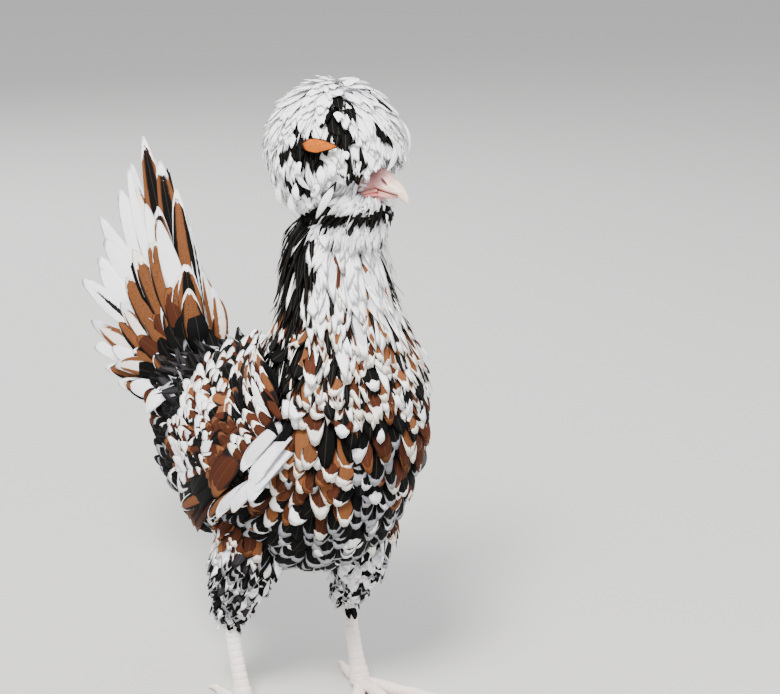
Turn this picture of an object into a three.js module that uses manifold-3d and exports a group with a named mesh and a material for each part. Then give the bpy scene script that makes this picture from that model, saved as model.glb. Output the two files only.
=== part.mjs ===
// A life-size standing hen of a crested, bearded breed, in millimetres, +Z up.
// She faces -Y with her left side towards +X, head turned a little to her left, tail held high.
import * as THREE from "three";
import { mergeVertices } from "three/addons/utils/BufferGeometryUtils.js";
import Module from "manifold-3d";

const wasm = await Module();
wasm.setup();

// Driving dimensions
const GAP = 0.3; // between nodes that touch
const ORIGIN = { x: -1.1, y: 66.1 }; // the middle of the model's box, in the hen's own frame
const LEFT = 1;
const RIGHT = -1;
const UP = new THREE.Vector3(0, 0, 1);
const ACROSS = new THREE.Vector3(1, 0, 0);

// Body: oval sections from the rump to the throat, [y, z, half depth, half width, lean];
// lean turns a section from upright, over the belly, to level, up the neck
const BODY = [
  [151, 171, 7, 7, -8],
  [143, 165, 23, 23, -8],
  [123, 156, 39, 38, -6],
  [96, 151, 51, 48, -4],
  [62, 149, 60, 55, 0],
  [26, 153, 68, 58, 0],
  [-13, 162, 68, 57.5, 18],
  [-41, 188, 59, 53, 39],
  [-53, 220, 48.5, 47.5, 60],
  [-49, 243, 39, 41, 76],
  [-43, 264, 33, 34, 88],
  [-40, 285, 30, 31, 90],
  [-41, 301, 27.5, 28.5, 88],
  [-43, 312, 22, 23, 85],
  [-44, 318, 12, 13, 84],
];
const NECK_FROM = 228; // height at which neck and torso part
const TAIL_FROM = { y: 106, z: 184, lean: 40 }; // plane behind which the rump belongs to the tail

// Head: its middle, and how far it turns to the hen's left
const HEAD_AT = new THREE.Vector3(2, -50, 331);
const HEAD_YAW = THREE.MathUtils.degToRad(22);
const SKULL = [
  // [along, up, half height, half width]
  [-24, 0, 3, 3],
  [-21, 0, 10, 9],
  [-12, 0.5, 16, 14.5],
  [0, 0.5, 17, 15.5],
  [10, -0.5, 15.5, 13.5],
  [19, -1.5, 12.5, 10.5],
  [24, -2, 10, 8.5],
];
const EYE = { along: 10.5, up: 4, out: 8.6, radius: 5.6 };
const LID = { radius: 5.3, tube: 1.1, hollow: 10 }; // the crest stands clear of the lids in a hollow
// Bill: [along, up, half height, half width]; the mouth is the gap between the two halves
const UPPER_BILL = [
  [20, 3.4, 5.6, 7.4],
  [25.2, 4.0, 6.2, 7.3],
  [30.5, 1.6, 5.2, 6.0],
  [35.6, -1.0, 4.0, 4.4],
  [39.6, -3.8, 2.5, 2.6],
  [42, -6.6, 0.7, 0.8],
];
const LOWER_BILL = [
  [18, -2.6, 3.7, 6.9],
  [24, -2.6, 3.4, 6.3],
  [30, -2.8, 2.7, 4.8],
  [34.5, -3.2, 1.7, 2.6],
  [36.3, -3.6, 0.6, 0.9],
];
const MOUTH = { up: -1.6, hook: 37 }; // the upper bill hooks down ahead of this
const NOSTRIL = { along: 29.3, up: 4.8, length: 5.4, height: 1.7, slope: 50 };

// Crest: one smooth globe out to the tips of its plumes, open over the face and level below
const CREST_AT = new THREE.Vector3(-1, -43, 349);
const CREST = { wide: 42, top: 42, low: 46, ends: 27 };
const FACE = { at: [36, 0, -10], wide: [27, 27, 25] }; // oval opening over the bill and face

// Beard and muffs: tiers of vanes from the jaw, round the throat from cheek to cheek
const JAW = { along: 2, reach: 118 }; // middle of the arc, and its half angle in degrees
const BEARD_TIERS = [
  { count: 8, root: [9, -8], middle: [20, -12], front: [23, -20], side: [29, -20] },
  { count: 9, root: [8, -10], middle: [19, -17], front: [23, -30], side: [29, -30] },
];
const BEARD_VANE = { width: 13.5, thick: 1, twist: 0.18 };

// Legs: the right one stands a little further back
const STANCE = { [LEFT]: { x: 36, y: -6 }, [RIGHT]: { x: -40, y: 6 } };
const THIGH = [
  // [out from the stance, y, z, half depth, half width]
  [-6, -12, 132, 24, 20],
  [-4, -8, 112, 25, 21],
  [-1, 0, 90, 22, 18.5],
  [0, 9, 70, 15.5, 13],
  [0, 13, 58, 11.5, 10.5],
  [0, 13, 51, 8, 7.5],
];
const SHANK = [
  // [out, y, z, half depth, half width]
  [0, 13, 50.5, 5.6, 5.2],
  [0, 10, 40, 5.2, 4.8],
  [0, 6, 28, 5.0, 4.7],
  [0, 2, 16, 5.4, 5.2],
  [0, 0, 9, 6.8, 6.8],
  [0, -1, 4.6, 6.6, 6.6],
];
const TOES = [
  // name, heading from straight ahead, length, radius, start from the middle of the pad
  { name: "inner", turn: -34, length: 38, radius: 3.9, start: 6.5 },
  { name: "middle", turn: -2, length: 52, radius: 4.2, start: 6.5 },
  { name: "outer", turn: 32, length: 42, radius: 3.8, start: 6.5 },
  { name: "hind", turn: 172, length: 19, radius: 3.3, start: 6.5 },
];
const TOE_SINK = 0.75; // share of the radius that a toe's axis stands above the floor
const CLAW = { length: 11, radius: 2.3, drop: 0.4 };

// Wings: a sheet over the flank, widest at WING.y, WING.z, and everywhere clear of the body
const WING = {
  half: 63.5,
  y: -5,
  z: 165,
  front: 0.003,
  back: 0.0017,
  above: 0.0104,
  below: 0.0034,
  clear: 1.6,
};
const ARM = { y: -12, z: 187, long: 52, deep: 31, slope: 32, bulge: 3, sunk: 24, sides: 16 };
const QUILLS = [
  // tiers from the innermost: roots and tips run from the top feather to the lowest, as [y, z]
  { count: 4, width: 10, out: -0.8, root: [[-34, 180], [-44, 178]], tip: [[60, 112], [34, 100]] },
  { count: 8, width: 17, out: 0.4, root: [[14, 200], [-36, 182]], tip: [[84, 176], [52, 110]] },
  { count: 7, width: 16, out: 2.6, root: [[6, 204], [-38, 186]], tip: [[58, 188], [8, 134]] },
  { count: 5, width: 17, out: 4.4, root: [[-4, 208], [-42, 190]], tip: [[32, 198], [-14, 152]] },
];
const QUILL = { thick: 0.95, sunk: 4, twist: THREE.MathUtils.degToRad(8) };

// Tail: tiers of [how many a side, rise of the top and lowest, splay, lengths, width, how far off the middle]
const TAIL_AT = new THREE.Vector3(0, 118, 183);
const TAIL_TIERS = [
  { count: 7, rise: [63, 31], splay: [0.5, 15], length: [155, 88], full: 0.5, width: 22, out: 2.5 },
  { count: 4, rise: [66, 28], splay: [3, 22], length: [92, 62], full: 0.2, width: 23, out: 5.5 },
  { count: 3, rise: [70, 26], splay: [6, 30], length: [58, 46], full: 0, width: 20, out: 8.5 },
];
const TAIL = { thick: 1, drop: 16, spread: 7, opening: 2.2, twist: THREE.MathUtils.degToRad(10), bow: 4 };

// Colours of the plumage and the bare parts
const finish = (color, roughness) => new THREE.MeshStandardMaterial({ color, roughness, metalness: 0 });
const PLUMAGE = finish(0xb9a392, 0.85);
const WHITE_PLUMAGE = finish(0xe9e7e4, 0.85);
const BROWN_PLUMAGE = finish(0x9a5a2c, 0.8);
const SKIN = finish(0xe2b4ac, 0.6);
const HORN = finish(0xead2c8, 0.4);
const SCALES = finish(0xe6e2de, 0.5);
const EYEBALL = finish(0x8a3d10, 0.1);

// A closed geometry as a solid that can be joined and cut
function solid(geometry) {
  const shape = geometry.clone();
  shape.deleteAttribute("normal");
  shape.deleteAttribute("uv");
  const merged = mergeVertices(shape, 1e-4);
  return new wasm.Manifold(
    new wasm.Mesh({
      numProp: 3,
      vertProperties: new Float32Array(merged.attributes.position.array),
      triVerts: new Uint32Array(merged.index.array),
    }),
  );
}

// The largest closed surface of a solid
function largest(shape) {
  return shape.decompose().reduce((best, one) => (one.volume() > best.volume() ? one : best));
}

function named(name, shape, material) {
  const kept = largest(shape).getMesh();
  const geometry = new THREE.BufferGeometry();
  const points = new Float32Array(kept.numVert * 3);
  for (let i = 0; i < kept.numVert; i++) {
    points.set(kept.vertProperties.subarray(i * kept.numProp, i * kept.numProp + 3), i * 3);
  }
  geometry.setAttribute("position", new THREE.BufferAttribute(points, 3));
  geometry.setIndex(new THREE.BufferAttribute(new Uint32Array(kept.triVerts), 1));
  geometry.computeVertexNormals();
  const mesh = new THREE.Mesh(geometry, material);
  mesh.name = name;
  return mesh;
}

const joined = (shapes) => shapes.reduce((sum, one) => sum.add(one));
const without = (shape, cuts) => cuts.reduce((rest, cut) => rest.subtract(cut), shape);

// Closes a row of rings, each a list of points, with a fan at each end
function loft(rings) {
  const sides = rings[0].length;
  const points = rings.flat();
  const faces = [];
  rings.slice(1).forEach((_, r) => {
    for (let i = 0; i < sides; i++) {
      const a = r * sides + i;
      const b = r * sides + ((i + 1) % sides);
      faces.push(a, b, b + sides, a, b + sides, a + sides);
    }
  });
  [rings[0], rings.at(-1)].forEach((ring, end) => {
    const middle = ring.reduce((sum, p) => sum.add(p), new THREE.Vector3()).divideScalar(sides);
    points.push(middle);
    const first = end ? (rings.length - 1) * sides : 0;
    for (let i = 0; i < sides; i++) {
      const a = first + i;
      const b = first + ((i + 1) % sides);
      faces.push(points.length - 1, end ? a : b, end ? b : a);
    }
  });
  const geometry = new THREE.BufferGeometry().setFromPoints(points);
  geometry.setIndex(faces);
  return geometry;
}

// Rings of an oval section along a smooth line through stations {at, deep, wide}
function limb(stations, { rings = 12, sides = 18, grow = 0, across = ACROSS } = {}) {
  const line = new THREE.CatmullRomCurve3(stations.map((s) => s.at));
  const size = new THREE.CatmullRomCurve3(stations.map((s) => new THREE.Vector3(s.deep, s.wide, 0)));
  const made = [];
  for (let r = 0; r <= rings; r++) {
    const t = r / rings;
    const along = line.getTangent(t);
    const side = across.clone().addScaledVector(along, -across.dot(along)).normalize();
    const up = new THREE.Vector3().crossVectors(side, along);
    const middle = line.getPoint(t).addScaledVector(along, r === 0 ? -grow : r === rings ? grow : 0);
    const { x: deep, y: wide } = size.getPoint(t);
    made.push(
      Array.from({ length: sides }, (_, i) => {
        const a = (i / sides) * Math.PI * 2;
        return middle
          .clone()
          .addScaledVector(side, (wide + grow) * Math.cos(a))
          .addScaledVector(up, (deep + grow) * Math.sin(a));
      }),
    );
  }
  return facingOut(made);
}
function facingOut(rings) {
  const shape = solid(loft(rings));
  return shape.volume() < 0 ? solid(loft([...rings].reverse())) : shape;
}

// A feather: a thin blade along a bow from root through the middle to the tip, its outer side towards face
const LONG_BLADE = [
  // [share of the length, share of the width]
  [0, 0.3],
  [0.45, 0.82],
  [0.84, 1],
  [1, 0.42],
];
const SHORT_BLADE = [
  [0, 0.36],
  [0.74, 1],
  [1, 0.45],
];
const THIN_TIP = 0.45; // share of the thickness that is lost towards the tip
function vane({ root, tip, through, face, width, thick, twist = 0, grow = 0, blade = LONG_BLADE }) {
  const control = through.clone().multiplyScalar(2).addScaledVector(root, -0.5).addScaledVector(tip, -0.5);
  const line = new THREE.QuadraticBezierCurve3(root, control, tip);
  const points = [];
  blade.forEach(([t, share], k) => {
    const along = line.getTangent(t);
    const side = new THREE.Vector3().crossVectors(along, face).normalize();
    const out = new THREE.Vector3().crossVectors(side, along).normalize();
    side.applyAxisAngle(along, twist);
    out.applyAxisAngle(along, twist);
    const half = (width * share) / 2 + grow;
    const deep = (thick * (1 - THIN_TIP * t)) / 2 + grow;
    const middle = line.getPoint(t);
    if (k === blade.length - 1) middle.addScaledVector(along, grow);
    for (const skin of [deep, -deep]) {
      for (const edge of [-half, half]) {
        points.push(middle.clone().addScaledVector(side, edge).addScaledVector(out, skin));
      }
    }
  });
  const faces = [];
  for (let k = 0; k < blade.length - 1; k++) {
    const a = k * 4;
    const b = a + 4;
    faces.push(a, a + 1, b + 1, a, b + 1, b); // outer side
    faces.push(a + 2, b + 3, a + 3, a + 2, b + 2, b + 3); // inner side, split alike
    faces.push(a + 2, a, b, a + 2, b, b + 2);
    faces.push(a + 1, a + 3, b + 3, a + 1, b + 3, b + 1);
  }
  const end = (blade.length - 1) * 4;
  faces.push(1, 0, 2, 1, 2, 3);
  faces.push(end, end + 1, end + 3, end, end + 3, end + 2);
  const geometry = new THREE.BufferGeometry().setFromPoints(points);
  geometry.setIndex(faces);
  const shape = solid(geometry);
  if (shape.volume() > 0) return shape;
  for (let i = 0; i < faces.length; i += 3) [faces[i], faces[i + 1]] = [faces[i + 1], faces[i]];
  geometry.setIndex(faces);
  return solid(geometry);
}

const mix = ([a, b], t) => a + (b - a) * t;
const radians = THREE.MathUtils.degToRad;

// Flesh with its smooth coat: sections along the sweep, each in a plane that leans
const BODY_RINGS = 32;
const BODY_CENTRES = new THREE.CatmullRomCurve3(BODY.map(([y, z]) => new THREE.Vector3(0, y, z)));
const BODY_SIZES = new THREE.CatmullRomCurve3(
  BODY.map(([, , deep, wide, lean]) => new THREE.Vector3(deep, wide, lean)),
);
function section(t) {
  const middle = BODY_CENTRES.getPoint(t);
  const { x: deep, y: wide, z: lean } = BODY_SIZES.getPoint(t);
  const up = new THREE.Vector3(0, Math.sin(radians(lean)), Math.cos(radians(lean)));
  return { middle, deep, wide, up };
}
function body(grow = 0) {
  const sides = 22;
  const rings = Array.from({ length: BODY_RINGS + 1 }, (_, r) => {
    const { middle, deep, wide, up } = section(r / BODY_RINGS);
    return Array.from({ length: sides }, (_, i) => {
      const a = (i / sides) * Math.PI * 2;
      return middle
        .clone()
        .addScaledVector(ACROSS, (wide + grow) * Math.cos(a))
        .addScaledVector(up, (deep + grow) * Math.sin(a));
    });
  });
  return facingOut(rings);
}

// Half the width of the body at y, z: the widest of the sections that pass near that point
function halfWidth(y, z) {
  let widest = 0;
  for (let r = 0; r <= BODY_RINGS * 4; r++) {
    const { middle, deep, wide, up } = section(r / (BODY_RINGS * 4));
    const away = new THREE.Vector3(0, y, z).sub(middle);
    const high = away.dot(up) / deep;
    const off = away.dot(new THREE.Vector3().crossVectors(ACROSS, up));
    if (Math.abs(off) < 3 && Math.abs(high) < 1) widest = Math.max(widest, wide * Math.sqrt(1 - high * high));
  }
  return widest;
}

// All that lies behind the parting of torso and tail
function behindTorso(shift) {
  const block = new THREE.BoxGeometry(300, 300, 300);
  block.translate(0, 150 + shift, 0);
  block.rotateX(radians(TAIL_FROM.lean));
  return solid(block.translate(0, TAIL_FROM.y, TAIL_FROM.z));
}

// All that lies above the parting of torso and neck
function aboveTorso(shift) {
  const block = new THREE.BoxGeometry(300, 300, 300);
  return solid(block.translate(0, 0, NECK_FROM + 150 + shift));
}

// Points of the head's own frame, which turns with her gaze
const AHEAD = new THREE.Vector3(Math.sin(HEAD_YAW), -Math.cos(HEAD_YAW), 0);
const HEAD_LEFT = new THREE.Vector3(Math.cos(HEAD_YAW), Math.sin(HEAD_YAW), 0);
const headPoint = (along, left, up) =>
  HEAD_AT.clone().addScaledVector(AHEAD, along).addScaledVector(HEAD_LEFT, left).addScaledVector(UP, up);
const headLimb = (rows, options) =>
  limb(
    rows.map(([along, up, deep, wide]) => ({ at: headPoint(along, 0, up), deep, wide })),
    { across: HEAD_LEFT, ...options },
  );
const skull = (grow = 0) => headLimb(SKULL, { rings: 10, sides: 16, grow });
const upperBill = (grow = 0) => headLimb(UPPER_BILL, { rings: 8, sides: 12, grow });
const lowerBill = (grow = 0) => headLimb(LOWER_BILL, { rings: 6, sides: 12, grow });

function ball(at, radius, detail = 12) {
  const shape = new THREE.SphereGeometry(radius, detail, detail / 2);
  return solid(shape.translate(at.x, at.y, at.z));
}

const eyeAt = (side) => headPoint(EYE.along, side * EYE.out, EYE.up);
const eyeball = (side, grow = 0) => ball(eyeAt(side), EYE.radius + grow);

function lidRing(side) {
  const out = HEAD_LEFT.clone().multiplyScalar(side).addScaledVector(AHEAD, 0.25).normalize();
  const ring = new THREE.TorusGeometry(LID.radius, LID.tube, 5, 12);
  ring.scale(1.1, 0.92, 1);
  ring.applyQuaternion(new THREE.Quaternion().setFromUnitVectors(UP, out));
  const at = eyeAt(side).addScaledVector(out, 2.6);
  return solid(ring.translate(at.x, at.y, at.z));
}

// Everything below the mouth line, as a cutting block
function belowMouth(shift) {
  const block = new THREE.BoxGeometry(60, 60, 30);
  block.rotateZ(HEAD_YAW);
  const at = headPoint(MOUTH.hook - 30, 0, MOUTH.up - 15 + shift);
  return solid(block.translate(at.x, at.y, at.z));
}

function nostril(side) {
  const bore = new THREE.SphereGeometry(1, 8, 6);
  bore.scale(3.2, NOSTRIL.length / 2, NOSTRIL.height / 2);
  bore.rotateX(radians(NOSTRIL.slope)).rotateZ(HEAD_YAW);
  const at = headPoint(NOSTRIL.along, side * 6.4, NOSTRIL.up);
  return solid(bore.translate(at.x, at.y, at.z));
}

// Crest: a globe whose lower half is deeper, with the face opening and a level underside
function oval(at, [x, y, z]) {
  const shape = new THREE.SphereGeometry(1, 20, 12).scale(x, y, z);
  return solid(shape.translate(at.x, at.y, at.z));
}
function crest() {
  const globe = new THREE.SphereGeometry(1, 36, 24).rotateX(Math.PI / 2);
  const points = globe.attributes.position;
  for (let i = 0; i < points.count; i++) {
    const high = points.getZ(i) * (points.getZ(i) > 0 ? CREST.top : CREST.low);
    points.setXYZ(i, points.getX(i) * CREST.wide, points.getY(i) * CREST.wide, high);
  }
  const under = new THREE.BoxGeometry(200, 200, 60).translate(0, 0, -CREST.ends - 30);
  return solid(globe)
    .subtract(solid(under))
    .translate(CREST_AT.x, CREST_AT.y, CREST_AT.z)
    .subtract(oval(headPoint(...FACE.at), FACE.wide));
}

// Beard and muffs
function jaw(turn, [reach, up]) {
  return headPoint(JAW.along + Math.cos(turn) * reach, Math.sin(turn) * reach, up);
}
function beard(grow) {
  return BEARD_TIERS.flatMap(({ count, root, middle, front, side }) =>
    Array.from({ length: count }, (_, i) => {
      const place = mix([-1, 1], i / (count - 1));
      const turn = radians(JAW.reach * place);
      const end = [mix([front[0], side[0]], Math.abs(place)), mix([front[1], side[1]], Math.abs(place))];
      return vane({
        root: jaw(turn, root),
        through: jaw(turn, middle),
        tip: jaw(turn, end),
        face: jaw(turn, [1, 0.7]).sub(jaw(turn, [0, 0])),
        width: BEARD_VANE.width,
        thick: BEARD_VANE.thick,
        twist: BEARD_VANE.twist * Math.sign(place),
        blade: SHORT_BLADE,
        grow,
      });
    }),
  );
}

// Wing sheet: a point of the flank at y, z, out from the body
function onWing(side, y, z, out) {
  const dy = y - WING.y;
  const dz = z - WING.z;
  const sag = (dy < 0 ? WING.front : WING.back) * dy * dy + (dz > 0 ? WING.above : WING.below) * dz * dz;
  const from = Math.max(WING.half - sag, halfWidth(y, z) + WING.clear);
  return new THREE.Vector3(side * (from + out), y, z);
}
function wingFace(side, y, z) {
  const at = onWing(side, y, z, 0);
  const dy = onWing(side, y + 1, z, 0).sub(at);
  const dz = onWing(side, y, z + 1, 0).sub(at);
  return dy.cross(dz).normalize().multiplyScalar(side);
}
function arm(side) {
  const rings = [];
  const spread = [0.25, 0.6, 0.85, 1];
  const slope = -radians(ARM.slope);
  const ring = (share, out) =>
    Array.from({ length: ARM.sides }, (_, i) => {
      const a = (i / ARM.sides) * Math.PI * 2;
      const u = Math.cos(a) * ARM.long * share;
      const v = Math.sin(a) * ARM.deep * share;
      const y = ARM.y + u * Math.cos(slope) - v * Math.sin(slope);
      const z = ARM.z + u * Math.sin(slope) + v * Math.cos(slope);
      return onWing(side, y, z, out);
    });
  spread.forEach((share) => rings.push(ring(share, ARM.bulge * (1 - share * share * 0.6))));
  [...spread].reverse().forEach((share) => rings.push(ring(share * 0.98, -ARM.sunk)));
  return facingOut(rings);
}
function quills(side) {
  return QUILLS.flatMap(({ count, width, out, root, tip }) =>
    Array.from({ length: count }, (_, i) => {
      const t = i / (count - 1);
      const from = [mix([root[0][0], root[1][0]], t), mix([root[0][1], root[1][1]], t)];
      const to = [mix([tip[0][0], tip[1][0]], t), mix([tip[0][1], tip[1][1]], t)];
      const middle = [(from[0] + to[0]) / 2, (from[1] + to[1]) / 2];
      return vane({
        root: onWing(side, ...from, out - QUILL.sunk),
        through: onWing(side, ...middle, out),
        tip: onWing(side, ...to, out),
        face: wingFace(side, ...middle),
        width,
        thick: QUILL.thick,
        blade: SHORT_BLADE,
        twist: side * QUILL.twist,
      });
    }),
  );
}
const wing = (side) => joined([arm(side), ...quills(side)]);

// Tail: both sides of a tent, from the top pair down, with tiers of coverts over the long feathers
function tail() {
  const pieces = [body().intersect(behindTorso(0))];
  for (const { count, rise, splay, length, full, width, out } of TAIL_TIERS) {
    for (let i = 0; i < count * 2; i++) {
      const side = i % 2 ? LEFT : RIGHT;
      const t = Math.floor(i / 2) / (count - 1);
      const up = radians(mix(rise, t));
      const away = radians(mix(splay, t ** TAIL.opening));
      const along = new THREE.Vector3(0, Math.cos(up), Math.sin(up)).multiplyScalar(Math.cos(away));
      along.x = side * Math.sin(away);
      const dorsal = new THREE.Vector3(0, -Math.sin(up), Math.cos(up));
      const face = new THREE.Vector3(side * mix([0.6, 1], t), 0, 0);
      face.addScaledVector(dorsal, mix([0.7, 0.25], t));
      const long = mix(length, Math.max(0, (t - full) / (1 - full)));
      const root = TAIL_AT.clone().add(new THREE.Vector3(side * (out + t * TAIL.spread), 0, -t * TAIL.drop));
      pieces.push(
        vane({
          root,
          through: root.clone().addScaledVector(along, long / 2).addScaledVector(face, TAIL.bow),
          tip: root.clone().addScaledVector(along, long),
          face,
          width,
          thick: TAIL.thick,
          twist: side * TAIL.twist,
        }),
      );
    }
  }
  return joined(pieces);
}

// Legs
const legLimb = (side, rows, options) =>
  limb(
    rows.map(([out, y, z, deep, wide]) => ({
      at: new THREE.Vector3(STANCE[side].x + side * out, STANCE[side].y + y, z),
      deep,
      wide,
    })),
    options,
  );
const thigh = (side, grow = 0) => legLimb(side, THIGH, { rings: 10, sides: 14, grow });
const shank = (side, grow = 0) => legLimb(side, SHANK, { rings: 8, sides: 10, grow });
const floorBlock = () => solid(new THREE.BoxGeometry(600, 600, 40).translate(0, 0, -20));

function toeLine(side, { turn, length, radius, start }) {
  const heading = radians(turn) * side;
  const way = new THREE.Vector3(Math.sin(heading), -Math.cos(heading), 0);
  const at = (share, lift) =>
    new THREE.Vector3(STANCE[side].x, STANCE[side].y - 1, 0)
      .addScaledVector(way, start + length * share)
      .addScaledVector(UP, lift);
  const low = radius * TOE_SINK;
  return { way, at, low };
}
function toe(side, plan, grow = 0) {
  const { at, low } = toeLine(side, plan);
  const r = plan.radius;
  const stations = [
    { at: at(-6 / plan.length, low + 1.2), deep: r * 0.9, wide: r * 0.9 },
    { at: at(0.18, low + 1.0), deep: r * 0.92, wide: r * 0.92 },
    { at: at(0.36, low + 0.1), deep: r * 1.0, wide: r * 1.06 },
    { at: at(0.58, low), deep: r * 0.86, wide: r * 0.88 },
    { at: at(0.78, low), deep: r * 0.9, wide: r * 0.95 },
    { at: at(1, low), deep: r * 0.62, wide: r * 0.66 },
  ];
  return limb(stations, { rings: 5, sides: 6, grow });
}
function claw(side, plan, grow = 0) {
  const { at, low } = toeLine(side, plan);
  const step = CLAW.length / plan.length;
  const r = CLAW.radius;
  const stations = [
    { at: at(1 - step * 0.25, low + 0.2), deep: r, wide: r * 0.8 },
    { at: at(1 + step * 0.2, low + 0.9), deep: r * 0.9, wide: r * 0.7 },
    { at: at(1 + step * 0.6, low + 0.3), deep: r * 0.6, wide: r * 0.45 },
    { at: at(1 + step, CLAW.drop + 0.5), deep: 0.4, wide: 0.35 },
  ];
  return limb(stations, { rings: 4, sides: 6, grow });
}

// Assembly: each node is cut clear of the ones before it
const hen = new THREE.Group();
hen.position.set(-ORIGIN.x, -ORIGIN.y, 0);
const put = (name, shape, material) => hen.add(named(name, shape, material));

const bodyCut = body(GAP);
const skullCut = skull(GAP);
const bills = [upperBill(GAP), lowerBill(GAP)];
const eyes = [eyeball(LEFT, GAP), eyeball(RIGHT, GAP)];
put("torso", without(body(), [aboveTorso(-GAP / 2), behindTorso(-GAP / 2)]), PLUMAGE);
put("neck", without(body().intersect(aboveTorso(GAP / 2)), [skullCut, ...bills]), PLUMAGE);
const whiskers = beard(0).map((one) => one.subtract(bodyCut));
const flesh = joined([skull(), lidRing(LEFT), lidRing(RIGHT), ...whiskers]);
put("head", without(flesh, [...bills, ...eyes]), SKIN);
put("eye_left", eyeball(LEFT), EYEBALL);
put("eye_right", eyeball(RIGHT), EYEBALL);
put("bill_upper", without(upperBill(), [belowMouth(GAP / 2), nostril(LEFT), nostril(RIGHT)]), HORN);
put("bill_lower", lowerBill().intersect(belowMouth(-GAP / 2)), HORN);
const hollows = [LEFT, RIGHT].map((side) => ball(eyeAt(side), LID.hollow, 16));
put("crest", without(crest(), [skullCut, bodyCut, ...beard(GAP), ...bills, ...hollows]), WHITE_PLUMAGE);

for (const [side, word] of [[LEFT, "left"], [RIGHT, "right"]]) {
  const thighCut = thigh(side, GAP);
  put(`wing_${word}`, without(wing(side), [bodyCut, thighCut]), PLUMAGE);
  put(`thigh_${word}`, without(thigh(side), [bodyCut]), PLUMAGE);
  const floor = floorBlock();
  put(`shank_${word}`, without(shank(side), [thighCut, floor]), SCALES);
  const toes = TOES.map((plan) => toe(side, plan));
  const claws = TOES.map((plan) => claw(side, plan, GAP));
  put(`foot_${word}`, without(joined(toes), [shank(side, GAP), floor, ...claws]), SCALES);
  TOES.forEach((plan) => put(`claw_${plan.name}_${word}`, claw(side, plan).subtract(floor), HORN));
}
put("tail", tail().subtract(bodyCut.subtract(behindTorso(GAP / 2))), BROWN_PLUMAGE);

export default hen;
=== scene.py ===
"""A polish crested hen, life size: skin, horn and every feather of her coat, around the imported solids.

Shapes are worked out in millimetres in the hen's own frame: she faces -Y, her left side is +X, +Z is up.
They are moved to the model's origin and turned to metres when a mesh is made.
"""

import math

import bpy
import numpy as np
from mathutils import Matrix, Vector, noise


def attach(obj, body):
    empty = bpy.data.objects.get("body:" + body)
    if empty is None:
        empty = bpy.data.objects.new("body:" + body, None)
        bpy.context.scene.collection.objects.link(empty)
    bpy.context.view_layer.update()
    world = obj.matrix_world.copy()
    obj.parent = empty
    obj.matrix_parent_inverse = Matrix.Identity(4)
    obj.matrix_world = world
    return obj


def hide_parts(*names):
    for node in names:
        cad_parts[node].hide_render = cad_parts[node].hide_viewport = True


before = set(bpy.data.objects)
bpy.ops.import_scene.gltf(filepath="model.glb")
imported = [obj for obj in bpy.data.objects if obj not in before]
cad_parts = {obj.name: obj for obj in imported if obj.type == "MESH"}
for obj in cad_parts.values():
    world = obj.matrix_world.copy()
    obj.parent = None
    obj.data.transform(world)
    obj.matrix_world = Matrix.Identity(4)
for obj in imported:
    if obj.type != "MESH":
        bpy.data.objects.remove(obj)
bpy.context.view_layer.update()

# Measures shared with the solids
ORIGIN = np.array([-1.1, 66.1, 0.0])
LEFT, RIGHT = 1, -1
BODY = [  # y, z, half depth, half width, lean
    (151, 171, 7, 7, -8),
    (143, 165, 23, 23, -8),
    (123, 156, 39, 38, -6),
    (96, 151, 51, 48, -4),
    (62, 149, 60, 55, 0),
    (26, 153, 68, 58, 0),
    (-13, 162, 68, 57.5, 18),
    (-41, 188, 59, 53, 39),
    (-53, 220, 48.5, 47.5, 60),
    (-49, 243, 39, 41, 76),
    (-43, 264, 33, 34, 88),
    (-40, 285, 30, 31, 90),
    (-41, 301, 27.5, 28.5, 88),
    (-43, 312, 22, 23, 85),
    (-44, 318, 12, 13, 84),
]
HEAD_AT = np.array([2.0, -50.0, 331.0])
HEAD_YAW = math.radians(22)
AHEAD = np.array([math.sin(HEAD_YAW), -math.cos(HEAD_YAW), 0.0])
HEAD_LEFT = np.array([math.cos(HEAD_YAW), math.sin(HEAD_YAW), 0.0])
UP = np.array([0.0, 0.0, 1.0])
SKULL = [  # along, up, half height, half width
    (-24, 0, 3, 3),
    (-21, 0, 10, 9),
    (-12, 0.5, 16, 14.5),
    (0, 0.5, 17, 15.5),
    (10, -0.5, 15.5, 13.5),
    (19, -1.5, 12.5, 10.5),
    (24, -2, 10, 8.5),
]
EYE = {"along": 10.5, "up": 4.0, "out": 8.6, "radius": 5.6}
CREST_AT = np.array([-1.0, -43.0, 349.0])
CREST = {"wide": 42.0, "top": 42.0, "low": 46.0}
STANCE = {LEFT: (36, -6), RIGHT: (-40, 6)}
THIGH = [  # out from the stance, y, z, half depth, half width
    (-6, -12, 132, 24, 20),
    (-4, -8, 112, 25, 21),
    (-1, 0, 90, 22, 18.5),
    (0, 9, 70, 15.5, 13),
    (0, 13, 58, 11.5, 10.5),
    (0, 13, 51, 8, 7.5),
]
SHANK = [
    (0, 13, 56, 5.4, 5.0),
    (0, 12, 50.5, 5.6, 5.2),
    (0, 10, 40, 5.0, 4.6),
    (0, 6, 28, 4.8, 4.5),
    (0, 2, 16, 5.2, 5.0),
    (0, 0, 9, 6.4, 6.4),
    (0, -1, 4.6, 6.4, 6.6),
    (0, -2, 1.6, 4.6, 5.0),
]
TOES = [("inner", -34, 38, 3.9), ("middle", -2, 52, 4.2), ("outer", 32, 42, 3.8), ("hind", 172, 19, 3.3)]
TOE_START, TOE_SINK = 6.5, 0.75
CLAW = {"length": 11, "radius": 2.3}
WING = {  # half width of the outer face, its middle, how fast it falls away, its distance from the body
    "half": 63.5,
    "y": -5,
    "z": 165,
    "front": 0.003,
    "back": 0.0017,
    "above": 0.0104,
    "below": 0.0034,
    "clear": 1.6,
}
ARM = {"y": -12, "z": 187, "long": 52, "deep": 31, "slope": 32}
TAIL_AT = np.array([0.0, 118.0, 183.0])

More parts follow.
